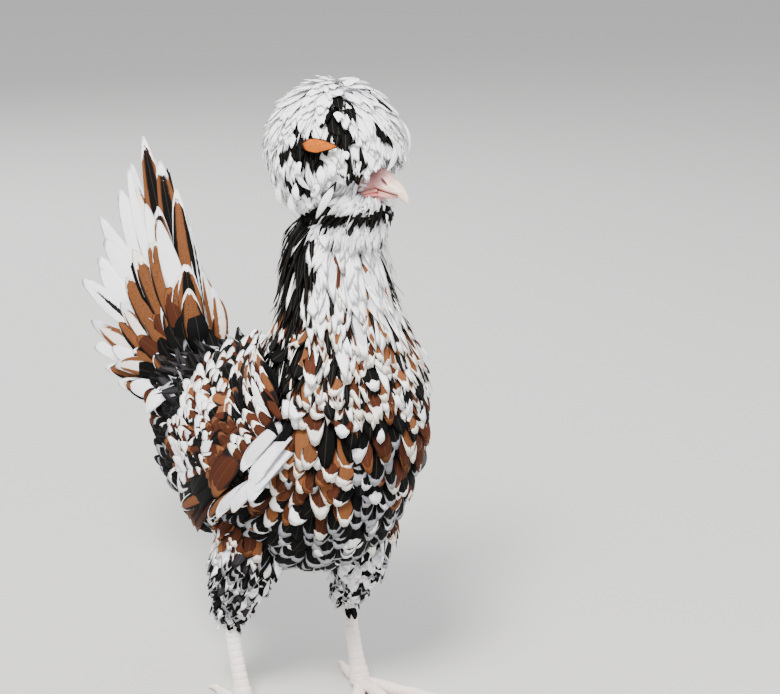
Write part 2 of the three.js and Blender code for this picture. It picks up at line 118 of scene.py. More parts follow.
SIDES = ((LEFT, "left"), (RIGHT, "right"))
CROSSWISE = np.array([1.0, 0.0, 0.0])


# Colours, as seen, turned to linear light
def rgb(r, g, b):
    c = np.array([r, g, b]) / 255.0
    return np.where(c <= 0.04045, c / 12.92, ((c + 0.055) / 1.055) ** 2.4)


WHITE = rgb(247, 247, 250)
PEARL = rgb(216, 217, 224)
GREY = rgb(150, 152, 158)
ASH = rgb(40, 38, 41)
BLACK = rgb(4, 4, 5)
SOOT = rgb(24, 20, 20)
MAHOGANY = rgb(66, 33, 19)
BROWN = rgb(108, 66, 38)
ORANGE = rgb(174, 90, 24)
CREAM = rgb(238, 230, 220)

rng = np.random.default_rng(20240611)


# Lines, surfaces and frames
def smooth_line(points, count):
    """Points of a centripetal curve through the rows of points, evenly spread over its spans."""
    rows = np.asarray(points, float)
    ext = np.vstack([2 * rows[0] - rows[1], rows, 2 * rows[-1] - rows[-2]])
    at = np.linspace(0, len(rows) - 1, count)
    i = np.minimum(at.astype(int), len(rows) - 2)
    w = (at - i)[:, None]
    p0, p1, p2, p3 = ext[i], ext[i + 1], ext[i + 2], ext[i + 3]
    span = lambda a, b: np.maximum(np.sum((a - b) ** 2, axis=1) ** 0.25, 1e-4)[:, None]
    d0, d1, d2 = span(p0, p1), span(p1, p2), span(p2, p3)
    t1 = ((p1 - p0) / d0 - (p2 - p0) / (d0 + d1) + (p2 - p1) / d1) * d1
    t2 = ((p2 - p1) / d1 - (p3 - p1) / (d1 + d2) + (p3 - p2) / d2) * d1
    return p1 + t1 * w + (-3 * p1 + 3 * p2 - 2 * t1 - t2) * w**2 + (2 * p1 - 2 * p2 + t1 + t2) * w**3


def unit(v):
    return v / np.maximum(np.linalg.norm(v, axis=-1, keepdims=True), 1e-9)


def smoothstep(a, b, x):
    t = np.clip((x - a) / (b - a), 0, 1)
    return t * t * (3 - 2 * t)


TUBE_STEPS = 900  # stations kept along a tube
THINNEST = 0.3  # least half width of a section
LEAST_ALONG, LEAST_ROUND = 60, 4  # least millimetres for a whole p and for a radian of q
SECTION_HALF = 3.5  # half the thickness of the slice that a body section stands for


class Tube:
    """A surface of oval sections: p runs along it from 0 to 1, q round it; lie is the way feathers point."""

    def __init__(self, middles, sizes, side, leaning=False, lie=-1):
        n = TUBE_STEPS
        self.lie = lie
        self.at = np.linspace(0, 1, n)
        self.middle = smooth_line(middles, n)
        self.size = smooth_line(sizes, n)
        if leaning:
            self.side = np.repeat(side[None], n, axis=0)
            lean = np.radians(self.size[:, 2])
            self.up = np.stack([0 * lean, np.sin(lean), np.cos(lean)], axis=1)
        else:
            along = unit(np.gradient(self.middle, axis=0))
            self.side = unit(side - along * (along @ side)[:, None])
            self.up = np.cross(self.side, along)

    def read(self, table, p):
        return np.stack([np.interp(p, self.at, table[:, k]) for k in range(table.shape[1])], axis=-1)

    def place(self, p, q):
        inside = np.clip(p, 0, 1)
        middle, size = self.read(self.middle, inside), self.read(self.size, inside)
        side, up = self.read(self.side, inside), self.read(self.up, inside)
        deep, wide = np.maximum(size[..., 0], THINNEST), np.maximum(size[..., 1], THINNEST)
        out = middle + side * (wide * np.cos(q))[..., None] + up * (deep * np.sin(q))[..., None]
        past = (p - inside)[..., None]
        if np.any(past):
            lead = np.where(past > 0, 1.0, 0) * (self.middle[-1] - self.middle[-3]) / (self.at[2])
            tail = np.where(past < 0, 1.0, 0) * (self.middle[2] - self.middle[0]) / (self.at[2])
            out = out + past * (lead + tail)
        return out

    def centre(self, p):
        return self.read(self.middle, np.clip(p, 0, 1))

    def normal(self, p, q):
        e = 1e-3
        dp = self.place(np.clip(p + e, 0, 1), q) - self.place(np.clip(p - e, 0, 1), q)
        dq = self.place(p, q + e) - self.place(p, q - e)
        n = unit(np.cross(dp, dq))
        away = self.place(p, q) - self.centre(p)
        return n * np.where(np.sum(n * away, axis=-1) < 0, -1.0, 1.0)[..., None]

    def steps(self, p, q):
        e = 2e-3
        dp = np.linalg.norm(self.place(p + e, q) - self.place(p - e, q), axis=-1) / (2 * e)
        dq = np.linalg.norm(self.place(p, q + e) - self.place(p, q - e), axis=-1) / (2 * e)
        return np.maximum(dp, 1e-3), np.maximum(dq, 1e-3)

    def walk(self, p, q, x, y):
        """Points and normals x across and y along the lie from p, q; x and y are n by anything."""
        dp, dq = self.steps(p, q)
        shape = (len(p),) + (1,) * (x.ndim - 1)
        pp = p.reshape(shape) + self.lie * y / np.maximum(dp, LEAST_ALONG).reshape(shape)
        qq = q.reshape(shape) + x / np.maximum(dq, LEAST_ROUND).reshape(shape)
        return self.place(pp, qq), self.normal(np.clip(pp, 0.002, 0.998), qq)

    def patch(self, p, q):
        return np.stack([(q / (2 * math.pi)) % 1.0, np.clip(p, 0, 1)], axis=-1)


def body_tube(inset):
    """The body's sections, smaller all round by the inset."""
    sizes = [(max(deep - inset, 2), max(wide - inset, 2), lean) for _, _, deep, wide, lean in BODY]
    return Tube([(0, y, z) for y, z, *_ in BODY], sizes, CROSSWISE, leaning=True)


def head_point(along, left, up):
    along, left, up = (np.asarray(v, float)[..., None] for v in (along, left, up))
    return HEAD_AT + AHEAD * along + HEAD_LEFT * left + UP * up


def head_tube(rows):
    return Tube([head_point(a, 0, u) for a, u, _, _ in rows], [(d, w) for _, _, d, w in rows], HEAD_LEFT)


def leg_tube(side, rows):
    x, y = STANCE[side]
    middles = [(x + side * o, y + dy, z) for o, dy, z, _, _ in rows]
    return Tube(middles, [(d, w) for *_, d, w in rows], CROSSWISE, lie=1)


body = body_tube(0)
skull = head_tube(SKULL)
thighs = {side: leg_tube(side, THIGH) for side in (LEFT, RIGHT)}


def body_width(y, z):
    """Half the width of the body at y, z, in the sections that lean through that point."""
    y, z = np.broadcast_arrays(np.asarray(y, float), np.asarray(z, float))
    widest = np.zeros(y.shape)
    for k in range(0, TUBE_STEPS, 9):
        _, cy, cz = body.middle[k]
        deep, wide, lean = body.size[k]
        s, c = math.sin(math.radians(lean)), math.cos(math.radians(lean))
        high = ((y - cy) * s + (z - cz) * c) / deep
        off = (y - cy) * c - (z - cz) * s
        inside = (np.abs(off) < SECTION_HALF) & (np.abs(high) < 1)
        widest = np.maximum(widest, np.where(inside, wide * np.sqrt(np.clip(1 - high**2, 0, 1)), 0))
    return widest


class WingSheet:
    """The outer face of a folded wing: p is y, q is z."""

    step = 3.0
    grid_y = np.arange(-110.0, 150.0, step)
    grid_z = np.arange(70.0, 260.0, step)
    table = None

    def __init__(self, side):
        self.side = side
        if WingSheet.table is None:
            yy, zz = np.meshgrid(self.grid_y, self.grid_z, indexing="ij")
            dy, dz = yy - WING["y"], zz - WING["z"]
            sag = np.where(dy < 0, WING["front"], WING["back"]) * dy**2
            sag = sag + np.where(dz > 0, WING["above"], WING["below"]) * dz**2
            x = np.maximum(WING["half"] - sag, body_width(yy, zz) + WING["clear"])
            for _ in range(2):
                beside = x[1:-1, 1:-1] * 2 + x[:-2, 1:-1] + x[2:, 1:-1] + x[1:-1, :-2] + x[1:-1, 2:]
                x[1:-1, 1:-1] = beside / 6
            WingSheet.table = x

    def place(self, p, q):
        i = np.clip((p - self.grid_y[0]) / self.step, 0, len(self.grid_y) - 1.001)
        j = np.clip((q - self.grid_z[0]) / self.step, 0, len(self.grid_z) - 1.001)
        a, b = i.astype(int), j.astype(int)
        u, v = i - a, j - b
        t = WingSheet.table
        near, far = t[a, b] * (1 - u) + t[a + 1, b] * u, t[a, b + 1] * (1 - u) + t[a + 1, b + 1] * u
        return np.stack([self.side * (near * (1 - v) + far * v), p + 0 * near, q + 0 * near], axis=-1)

    def normal(self, p, q):
        e = self.step
        dp = self.place(p + e, q) - self.place(p - e, q)
        dq = self.place(p, q + e) - self.place(p, q - e)
        return unit(np.cross(dp, dq)) * self.side

    def walk(self, p, q, x, y):
        """Here y runs towards +Y and x towards +Z."""
        shape = (len(p),) + (1,) * (x.ndim - 1)
        pp = p.reshape(shape) + y
        qq = q.reshape(shape) + x
        return self.place(pp, qq), self.normal(pp, qq)

    def patch(self, p, q):
        return np.stack([(p + 70) / 200.0, (q - 80) / 160.0], axis=-1)


class Globe:
    """The crest's outer face: p is the angle from the crown, q the turn from the bill."""

    def __init__(self, scale):
        self.wide, self.top, self.low = CREST["wide"] * scale, CREST["top"] * scale, CREST["low"] * scale
        self.ahead = unit(AHEAD)
        self.left = np.cross(UP, self.ahead)

    def direction(self, p, q):
        s = np.sin(p)
        return (
            UP * np.cos(p)[..., None]
            + self.ahead * (s * np.cos(q))[..., None]
            + self.left * (s * np.sin(q))[..., None]
        )

    def surface(self, d):
        wide = 0 * d[..., 2] + self.wide
        stretch = np.stack([wide, wide, np.where(d[..., 2] > 0, self.top, self.low)], axis=-1)
        return CREST_AT + d * stretch, unit(d / stretch)

    def place(self, p, q):
        return self.surface(self.direction(p, q))[0]

    def walk(self, p, q, x, y):
        d = self.direction(p, q)
        e_q = unit(np.cross(UP, d))
        e_p = np.cross(e_q, d)
        e_p = e_p * np.where(np.sum(e_p * UP, axis=-1) > 0, -1.0, 1.0)[..., None]
        run = np.hypot(x, y)
        far = run / (0.5 * (self.wide + self.top))
        n = (len(p),) + (1,) * (x.ndim - 1) + (3,)
        way = e_q.reshape(n) * x[..., None] + e_p.reshape(n) * y[..., None]
        way = way / np.maximum(run, 1e-6)[..., None]
        dd = d.reshape(n) * np.cos(far)[..., None] + way * np.sin(far)[..., None]
        return self.surface(dd)

    def patch(self, p, q):
        return np.stack([(q / (2 * math.pi)) % 1.0, p / math.pi], axis=-1)


class Bows:
    """One bow for each feather: a bent line from root to tip with a face that looks out."""

    def __init__(self, root, through, tip, face, patch):
        self.root, self.tip = root, tip
        self.control = 2 * through - 0.5 * root - 0.5 * tip
        self.face, self.where = face, patch
        self.long = np.linalg.norm(through - root, axis=-1) + np.linalg.norm(tip - through, axis=-1)

    def walk(self, _, __, x, y):
        t = (y / self.long[:, None, None])[..., None]
        a, b, c = (k[:, None, None, :] for k in (self.root, self.control, self.tip))
        line = a * (1 - t) ** 2 + b * 2 * t * (1 - t) + c * t**2
        tangent = unit((b - a) * (1 - t) + (c - b) * t)
        side = unit(np.cross(tangent, self.face[:, None, None, :]))
        out = unit(np.cross(side, tangent))
        return line + side * x[..., None], out

    def patch(self, _, __):
        return self.where


# Feathers
def grid_faces(across, rows):
    """Outer and inner faces of one thin closed feather whose rim is shared."""
    top = np.arange(across * rows).reshape(rows, across)
    low = top.copy()
    inner = np.arange((across - 2) * (rows - 2)).reshape(rows - 2, across - 2) + across * rows
    low[1:-1, 1:-1] = inner
    faces = []
    for r in range(rows - 1):
        for c in range(across - 1):
            faces.append((top[r, c], top[r, c + 1], top[r + 1, c + 1], top[r + 1, c]))
            faces.append((low[r, c], low[r + 1, c], low[r + 1, c + 1], low[r, c + 1]))
    return np.array(faces), across * rows + inner.size


PIECE_MOST = 190000  # triangles of one mesh of a coat
PART_MOST = 40000  # triangles of the parts that a coat is made up from


def joined(parts):
    """Vertices and faces of several parts put together."""
    starts = np.cumsum([0] + [len(part[0]) for part in parts])
    faces = [part[1] + start for part, start in zip(parts, starts)]
    return np.concatenate([part[0] for part in parts]), np.concatenate(faces)


class Coat:
    """Collects feathers and turns them into mesh objects."""

    def __init__(self):
        self.parts = []

    def mesh(self, name, material):
        """One object, or several if it would pass the most triangles."""
        made, group, count = [], [], 0
        for part in self.parts:
            if group and count + 2 * len(part[1]) > PIECE_MOST:
                made.append(group)
                group, count = [], 0
            group.append(part)
            count += 2 * len(part[1])
        made.append(group)
        objects = []
        for k, group in enumerate(made):
            obj = new_mesh(name if len(made) == 1 else f"{name}_{k + 1}", *joined(group), material)
            shape, form, tones, marks, uv = (np.concatenate(values) for values in list(zip(*group))[2:])
            half, drop = marks[:, 4:5], marks[:, 3:4]
            keep_values(obj.data, "shape", "vector", shape)
            keep_values(obj.data, "form", "vector", form)
            keep_values(obj.data, "base", "color", tones[:, 0], half)
            keep_values(obj.data, "middle", "color", tones[:, 1], half)
            keep_values(obj.data, "tip", "color", tones[:, 2], half)
            keep_values(obj.data, "marks", "color", marks[:, :3], drop)
            set_patches(obj.data, uv)
            objects.append(obj)
        return objects


def keep_values(mesh, name, kind, *columns):
    """Keeps values on the vertices, as vectors or as colours."""
    layer = mesh.attributes.new(name, f"FLOAT_{kind.upper()}", "POINT")
    layer.data.foreach_set(kind, np.concatenate(columns, axis=1).astype(np.float32).ravel())


def set_patches(mesh, uv):
    layer = mesh.uv_layers.new(name="OFBake")
    corners = np.empty(len(mesh.loops), np.int32)
    mesh.loops.foreach_get("vertex_index", corners)
    layer.data.foreach_set("uv", np.clip(uv[corners], 0.001, 0.999).astype(np.float32).ravel())


def new_mesh(name, co, faces, material, smooth=True):
    mesh = bpy.data.meshes.new(name)
    at = (np.asarray(co) - ORIGIN) / 1000.0
    mesh.vertices.add(len(at))
    mesh.vertices.foreach_set("co", at.astype(np.float32).ravel())
    faces = np.asarray(faces)
    mesh.loops.add(faces.size)
    mesh.loops.foreach_set("vertex_index", faces.astype(np.int32).ravel())
    mesh.polygons.add(len(faces))
    mesh.polygons.foreach_set("loop_start", np.arange(0, faces.size, faces.shape[1], dtype=np.int32))
    mesh.polygons.foreach_set("use_smooth", np.full(len(faces), smooth))
    mesh.update(calc_edges=True)
    mesh.validate()
    mesh.materials.append(material)
    obj = bpy.data.objects.new(name, mesh)
    bpy.context.scene.collection.objects.link(obj)
    return obj


PATCH = 0.003  # size of a feather's patch on the map
STYLES = {  # points across, rows, quill, point, blunt, rag, fray, camber, sway, thick, cup
    "body": (7, 9, 0.3, 0.46, 2.1, 0.015, 0.06, 0.12, 0.14, 0.22, 0),
    "rump": (7, 9, 0.3, 0.46, 2.1, 0.3, 0.4, 0.12, 0.14, 0.22, 0),
    "neck": (7, 8, 0.3, 0.5, 1.9, 0.28, 0.3, 0.14, 0.12, 0.22, 0),
    "hackle": (7, 8, 0.3, 0.75, 1.5, 0.12, 0.12, 0.14, 0.12, 0.22, 0),
    "thigh": (7, 7, 0.3, 0.45, 2.0, 0.3, 0.3, 0.12, 0.16, 0.22, 0),
    "fluff": (7, 9, 0.3, 0.5, 1.8, 0.25, 0.28, 0.15, 0.2, 0.22, 0),
    "face": (5, 6, 0.3, 0.6, 1.6, 0.2, 0.3, 0.1, 0.15, 0.12, 0),
    "beard": (7, 7, 0.3, 0.55, 1.7, 0.3, 0.3, 0.16, 0.14, 0.14, 0),
    "crest": (9, 9, 0.3, 0.6, 1.6, 0.3, 0.28, 0.12, 0.2, 0.12, 0),
    "wisp": (3, 6, 0.3, 0.6, 1.6, 0.5, 0.28, 0.12, 0.2, 0.12, 0),
    "leaf": (11, 16, 0.1, 0.85, 1.4, 0.08, 0.08, 0.2, 0.02, 0.2, 0),
    "quill": (13, 20, 0.5, 0.38, 2.3, 0.03, 0.06, 0.12, 0.03, 0.35, 0),
    "covert": (7, 8, 0.3, 0.5, 2.0, 0.08, 0.12, 0.14, 0.1, 0.22, 0),
    "tail": (13, 24, 0.3, 0.34, 2.2, 0.02, 0.05, 0.18, 0.05, 0.4, 0.04),
}


def lay(coat, sheet, p, q, turn, long, wide, tones, marks, style, depth=0.0, lift=0.0, curl=0.0):
    """Lays one feather per root on a sheet.

    tones is n by 3 colours (base, middle, tip); marks is n by 6: where the middle spot lies, its half
    length, where the tip's drop starts, its half width, the spot's half width and how peppered it is.
    In a style, quill is the share of the width at the root, point and blunt shape the tip, rag notches
    its end, fray its sides, camber and cup bend it across and sway sideways; curl lifts the tip.
    """
    n = len(p)
    if n == 0:
        return
    across, rows, quill, point, blunt, rag, fray, camber, sway, thick, cup = STYLES[style]
    every = lambda v: np.broadcast_to(np.asarray(v, float), (n,)).reshape(n, 1, 1)
    long, wide, turn, depth, lift, curl = map(every, (long, wide, turn, depth, lift, curl))
    u = np.linspace(-1, 1, across)
    v = np.linspace(0, 1, rows)
    ends = (1 - point * np.abs(u) ** blunt) * (1 - rag * rng.random((n, 1, across)))
    s = v[None, :, None] * ends
    body_of = quill + (1 - quill) * np.sin(np.clip(s / 0.55, 0, 1) * math.pi / 2)
    edge = 1 - fray * rng.random((n, rows, across)) * np.abs(u) ** 2
    x = u * body_of * edge * wide / 2
    y = s * long
    x = x + rng.normal(0, sway, (n, 1, 1)) * s**2 * long * 0.5
    rise = -depth + (depth + lift) * smoothstep(0, 1, s)
    tilt = rng.normal(0, 0.05, (n, 1, 1))
    bent = cup * u**2 * s * wide / 2
    h = rise + curl * s**3 * long - camber * u**2 * body_of * wide / 2 + tilt * x + bent
    xx = x * np.cos(turn) + y * np.sin(turn)
    yy = -x * np.sin(turn) + y * np.cos(turn)
    at, out = sheet.walk(p, q, xx, yy)
    top = at + out * h[..., None]
    hollow = thick * (1 - u[None, None, 1:-1] ** 2)
    low = top[:, 1:-1, 1:-1] - out[:, 1:-1, 1:-1] * hollow[..., None]
    count = across * rows
    inner = (across - 2) * (rows - 2)
    co = np.concatenate([top.reshape(n, count, 3), low.reshape(n, inner, 3)], axis=1)
    faces, size = grid_faces(across, rows)
    uu = np.broadcast_to(u, (n, rows, across))
    vv = np.broadcast_to(v[None, :, None], (n, rows, across))
    both = lambda a: np.concatenate([a.reshape(n, count), a[:, 1:-1, 1:-1].reshape(n, inner)], axis=1)
    seed = np.broadcast_to(rng.random((n, 1)) * 50, (n, size))
    shape = np.stack([both(uu), both(vv), seed], axis=-1)
    sizes = (wide / 10, long / 10, marks[:, 5])
    form = np.stack([np.broadcast_to(a.reshape(n, 1), (n, size)) for a in sizes], axis=-1)
    spread = np.repeat(tones[:, None], size, axis=1)
    marked = np.repeat(marks[:, None], size, axis=1)
    root = sheet.patch(p, q)[:, None, :]
    uv = root + np.stack([shape[..., 0] / 2, shape[..., 1] - 0.5], axis=-1) * PATCH
    step = PART_MOST // (2 * len(faces))
    for first in range(0, n, step):
        some = min(step, n - first)
        grids = (faces[None] + (np.arange(some) * size)[:, None, None]).reshape(-1, 4)
        flat = lambda a: a[first : first + some].reshape(some * size, *a.shape[2:])
        coat.parts.append((flat(co), grids, flat(shape), flat(form), flat(spread), flat(marked), flat(uv)))


def lay_bows(coat, bows, wide, tones, marks, style, lift=0.0):
    """Lays one feather along each bow."""
    zero = np.zeros(len(bows.long))
    lay(coat, bows, zero, zero, zero, bows.long, wide, tones, marks, style, lift=lift)


TRIES = 14  # draws for each root that finds room
PROBES = 4000  # draws that measure a sheet's area


def scatter(sheet, p_span, q_span, spacing, keep=None):
    """Roots over a part of a sheet, no two nearer than the spacing."""
    span = (p_span[1] - p_span[0]) * (q_span[1] - q_span[0])
    probe_p = rng.uniform(*p_span, PROBES)
    probe_q = rng.uniform(*q_span, PROBES)

    def area(p, q):
        e = 1e-3 * (p_span[1] - p_span[0])
        f = 1e-3 * (q_span[1] - q_span[0])
        dp = (sheet.place(p + e, q) - sheet.place(p - e, q)) / (2 * e)
        dq = (sheet.place(p, q + f) - sheet.place(p, q - f)) / (2 * f)
        return np.linalg.norm(np.cross(dp, dq), axis=-1)

    sizes = area(probe_p, probe_q)
    most = np.percentile(sizes, 99.5)
    total = sizes.mean() * span
    wanted = int(TRIES * total / spacing**2)
    draws = int(wanted * most / sizes.mean())
    p = rng.uniform(*p_span, draws)
    q = rng.uniform(*q_span, draws)
    kept = rng.random(draws) * most < area(p, q)
    p, q = p[kept], q[kept]
    at = sheet.place(p, q)
    if keep is not None:
        good = keep(at)
        p, q, at = p[good], q[good], at[good]
    keys = np.floor(at / spacing).astype(int)
    grid, chosen = {}, []
    near = [(i, j, k) for i in (-1, 0, 1) for j in (-1, 0, 1) for k in (-1, 0, 1)]
    limit = spacing**2
    for m in range(len(p)):
        a, b, c = keys[m]
        x, y, z = at[m]
        others = (one for i, j, k in near for one in grid.get((a + i, b + j, c + k), ()))
        if all((x - ox) ** 2 + (y - oy) ** 2 + (z - oz) ** 2 >= limit for ox, oy, oz in others):
            grid.setdefault((a, b, c), []).append((x, y, z))
            chosen.append(m)
    return p[chosen], q[chosen], at[chosen]


def cloud(at, scale, seed):
    """Soft noise from 0 to 1 at points, for patches of like-coloured feathers."""
    shift = Vector((seed * 7.3, seed * 3.1, seed * 5.7))
    return np.array([0.5 + 0.5 * noise.noise(Vector(v) / scale + shift) for v in at])


# Kinds of feather
KINDS = {  # base, middle spot and tip; the spot's place and half length; the tip's start and half width,
    # 0.001 for none; the spot's half width and how peppered it is
    "white": (PEARL, WHITE, WHITE, 0.6, 0.4, 0.7, 1.4, 0.8, 0.0),
    "pearl": (GREY, PEARL, WHITE, 0.6, 0.4, 0.8, 1.3, 0.8, 0.0),
    "cream": (SOOT, CREAM, WHITE, 0.7, 0.34, 0.84, 1.2, 0.75, 0.0),
    "spangle": (BLACK, MAHOGANY, CREAM, 0.66, 0.26, 0.80, 0.90, 0.82, 0.15),
    "bright": (SOOT, BROWN, CREAM, 0.66, 0.28, 0.84, 0.96, 0.82, 0.2),
    "drop": (MAHOGANY, BLACK, WHITE, 0.60, 0.14, 0.71, 0.64, 0.9, 0.1),
    "tear": (BLACK, BLACK, WHITE, 0.60, 0.12, 0.74, 0.68, 0.8, 0.0),
    "almond": (BLACK, BROWN, BLACK, 0.76, 0.20, 0.9, 0.001, 0.6, 0.1),
    "chestnut": (SOOT, MAHOGANY, BROWN, 0.70, 0.34, 0.90, 0.9, 0.85, 0.3),
    "laced": (BLACK, BLACK, WHITE, 0.6, 0.2, 0.86, 1.15, 0.8, 0.0),
    "slate": (BLACK, BLACK, GREY, 0.6, 0.2, 0.84, 1.05, 0.8, 0.0),
    "black": (BLACK, BLACK, BLACK, 0.6, 0.2, 0.9, 0.001, 0.8, 0.0),
    "sooty": (SOOT, ASH, ASH, 0.7, 0.3, 0.95, 1.3, 0.6, 0.0),
    "striped": (WHITE, BLACK, WHITE, 0.45, 0.42, 0.9, 1.3, 0.22, 0.0),
    "margined": (BLACK, BROWN, WHITE, 0.5, 0.5, 0.93, 1.2, 0.6, 0.6),
    "fawn": (SOOT, BROWN, CREAM, 0.60, 0.42, 0.94, 1.0, 0.88, 0.8),
    "capped": (SOOT, BROWN, WHITE, 0.56, 0.36, 0.90, 0.95, 0.85, 0.5),
    "orange": (BLACK, ORANGE, BLACK, 0.50, 0.42, 0.9, 0.001, 0.8, 0.8),
    "shafted": (BLACK, WHITE, WHITE, 0.52, 0.30, 0.95, 1.2, 0.14, 0.0),
    "ember": (BROWN, BLACK, WHITE, 0.58, 0.44, 0.96, 1.2, 0.66, 0.5),
    "pale": (BROWN, CREAM, PEARL, 0.60, 0.32, 0.88, 1.1, 0.55, 0.5),
    "framed": (BLACK, WHITE, BLACK, 0.52, 0.46, 0.97, 0.001, 0.74, 0.0),
    "silver": (GREY, PEARL, WHITE, 0.50, 0.50, 0.80, 1.2, 0.94, 0.1),
    "streaked": (WHITE, SOOT, WHITE, 0.36, 0.26, 0.80, 1.3, 0.09, 0.0),
}
NAMES = list(KINDS)
TIP_LATEST = 0.97  # where a tip's drop starts at the latest


def numbers(names):
    return np.array([NAMES.index(name) for name in names])


def dress(kind, spread=0.12):
    """Tones and marks for a list of kinds, each feather a little lighter or darker."""
    table = np.array([[KINDS[k][i] for i in range(3)] for k in NAMES])
    marks = np.array([KINDS[k][3:] for k in NAMES])
    kind = np.asarray(kind)
    tones = table[kind] * (1 + rng.normal(0, spread, (len(kind), 1, 1)))
    shift = rng.normal(0, 0.03, (len(kind), 1))
    swell = 1 + rng.normal(0, 0.22, (len(kind), 1)) * np.array([0, 0, 0, 1, 0, 0])
    placed = (marks[kind] + shift * np.array([1, 0, 1, 0, 0, 0])) * swell
    placed[:, 2] = np.minimum(placed[:, 2], TIP_LATEST)
    return np.clip(tones, 0.002, 0.93), placed


def choose(weights, at, scale=16.0, pull=2.2, seed=1.0):
    """Picks a kind for each feather by weights (n by kinds), with neighbours alike."""
    n = len(at)
    score = np.log(np.maximum(weights, 1e-6))
    for k in range(len(NAMES)):
        if weights[:, k].max() > 0:
            score[:, k] += pull * (cloud(at, scale, seed + k) - 0.5) * 2
    score += rng.gumbel(0, 0.8, (n, len(NAMES)))
    return score.argmax(axis=1)


def mixture(n, **shares):
    out = np.zeros((n, len(NAMES)))
    for name, share in shares.items():
        out[:, NAMES.index(name)] = share
    return out


# Materials
class Nodes:
    """A short way to write a shader."""

    def __init__(self, name):
        self.material = bpy.data.materials.new(name)
        self.material.use_nodes = True
        self.tree = self.material.node_tree
        self.shader = self.tree.nodes["Principled BSDF"]

    def node(self, kind, **settings):
        made = self.tree.nodes.new(kind)
        for key, value in settings.items():
            setattr(made, key, value)
        return made

    def link(self, a, b):
        self.tree.links.new(a, b)

    def feed(self, socket, value):
        if isinstance(value, (int, float)):
            socket.default_value = value
        else:
            self.link(value, socket)

    def math(self, operation, a, b=0.0):
        made = self.node("ShaderNodeMath", operation=operation)
        for socket, value in zip(made.inputs, (a, b)):
            self.feed(socket, value)
        return made.outputs[0]

    def ramp(self, value, low, high):
        made = self.node("ShaderNodeMapRange", interpolation_type="SMOOTHSTEP")
        for index, given in enumerate((value, low, high)):
            self.feed(made.inputs[index], given)
        return made.outputs[0]

    def mix(self, factor, a, b):
        made = self.node("ShaderNodeMix", data_type="RGBA", blend_type="MIX")
        self.feed(made.inputs["Factor"], factor)
        for socket, value in ((made.inputs[6], a), (made.inputs[7], b)):
            if isinstance(value, tuple):
                socket.default_value = value
            else:
                self.link(value, socket)
        return made.outputs[2]

    def attribute(self, name):
        return self.node("ShaderNodeAttribute", attribute_name=name)

    def split(self, vector):
        made = self.node("ShaderNodeSeparateXYZ")
        self.link(vector, made.inputs[0])
        return made.outputs

    def join(self, x, y, z):
        made = self.node("ShaderNodeCombineXYZ")
        for socket, value in zip(made.inputs, (x, y, z)):
            self.feed(socket, value)
        return made.outputs[0]

    def noise(self, vector, scale, detail=2.0, rough=0.5):
        made = self.node("ShaderNodeTexNoise")
        self.link(vector, made.inputs["Vector"])
        made.inputs["Scale"].default_value = scale
        made.inputs["Detail"].default_value = detail
        made.inputs["Roughness"].default_value = rough
        return made.outputs[0]

    def bump(self, height, strength, distance):
        made = self.node("ShaderNodeBump")
        made.inputs["Strength"].default_value = strength
        made.inputs["Distance"].default_value = distance
        self.link(height, made.inputs["Height"])
        self.link(made.outputs[0], self.shader.inputs["Normal"])

    def set(self, **values):
        for key, value in values.items():
            self.shader.inputs[key.replace("_", " ")].default_value = value
        return self.material


SPECK_TONE = (0.012, 0.009, 0.008, 1)
SHAFT_TONE = (0.2, 0.16, 0.12, 1)
# colour of the painted shade in the grooves between barb clumps
GROOVE_SHADE = (0.0, 0.0, 0.0, 1)


def plumage_material():
    """Each feather carries its own place, size, tones and marks; the shader draws vane, barbs and shaft."""
    s = Nodes("plumage")
    kinds = ("ADD", "SUBTRACT", "MULTIPLY", "DIVIDE", "POWER")
    plus, less, times, over, power = (lambda a, b, kind=kind: s.math(kind, a, b) for kind in kinds)
    u, v, seed = s.split(s.attribute("shape").outputs["Vector"])
    wide, long, soft = s.split(s.attribute("form").outputs["Vector"])
    marks = s.attribute("marks")
    spot, half, tip = s.split(marks.outputs["Vector"])
    base = s.attribute("base")
    off = s.math("ABSOLUTE", u)
    across = times(times(off, wide), 5.0)
    along = times(times(v, long), 10.0)
    barb = less(along, times(across, 0.8))
    sided = plus(seed, times(s.math("SIGN", u), 3.0))
    grain = lambda lengthwise, crosswise, detail, rough: s.noise(
        s.join(times(barb, lengthwise), times(across, crosswise), sided), 1.0, detail, rough
    )
    streak = grain(1.5, 0.22, 3.0, 0.6)
    blot = less(grain(0.45, 0.3, 2.0, 0.6), 0.5)
    speck = grain(1.6, 1.3, 3.0, 0.7)
    place = plus(v, plus(times(blot, 0.12), times(less(streak, 0.5), 0.05)))
    deep = over(less(place, spot), half)
    side = over(plus(u, times(blot, 0.3)), base.outputs["Alpha"])
    reach = s.math("SQRT", plus(times(deep, deep), times(side, side)))
    in_spot = less(1.0, s.ramp(reach, 0.82, 1.08))
    from_end = over(less(1.0, place), less(1.0, tip))
    from_shaft = power(over(off, marks.outputs["Alpha"]), 1.3)
    round_off = plus(power(s.math("MAXIMUM", from_end, 0.0), 1.7), from_shaft)
    in_tip = less(1.0, s.ramp(round_off, 0.90, 1.06))
    colour = s.mix(in_spot, base.outputs["Color"], s.attribute("middle").outputs["Color"])
    colour = s.mix(times(times(s.ramp(speck, 0.5, 0.62), soft), 0.75), colour, SPECK_TONE)
    colour = s.mix(in_tip, colour, s.attribute("tip").outputs["Color"])
    # painted shade: darker where the barb grain's bump is low, in the grooves between barb clumps
    colour = s.mix(times(less(1.0, s.ramp(streak, 0.25, 0.75)), 0.14), colour, GROOVE_SHADE)
    colour = s.mix(times(less(1.0, s.ramp(across, 0.08, 0.3)), 0.10), colour, SHAFT_TONE)
    s.link(colour, s.shader.inputs["Base Color"])
    s.bump(streak, 0.35, 0.0004)
    return s.set(Roughness=0.7, Specular_IOR_Level=0.06)


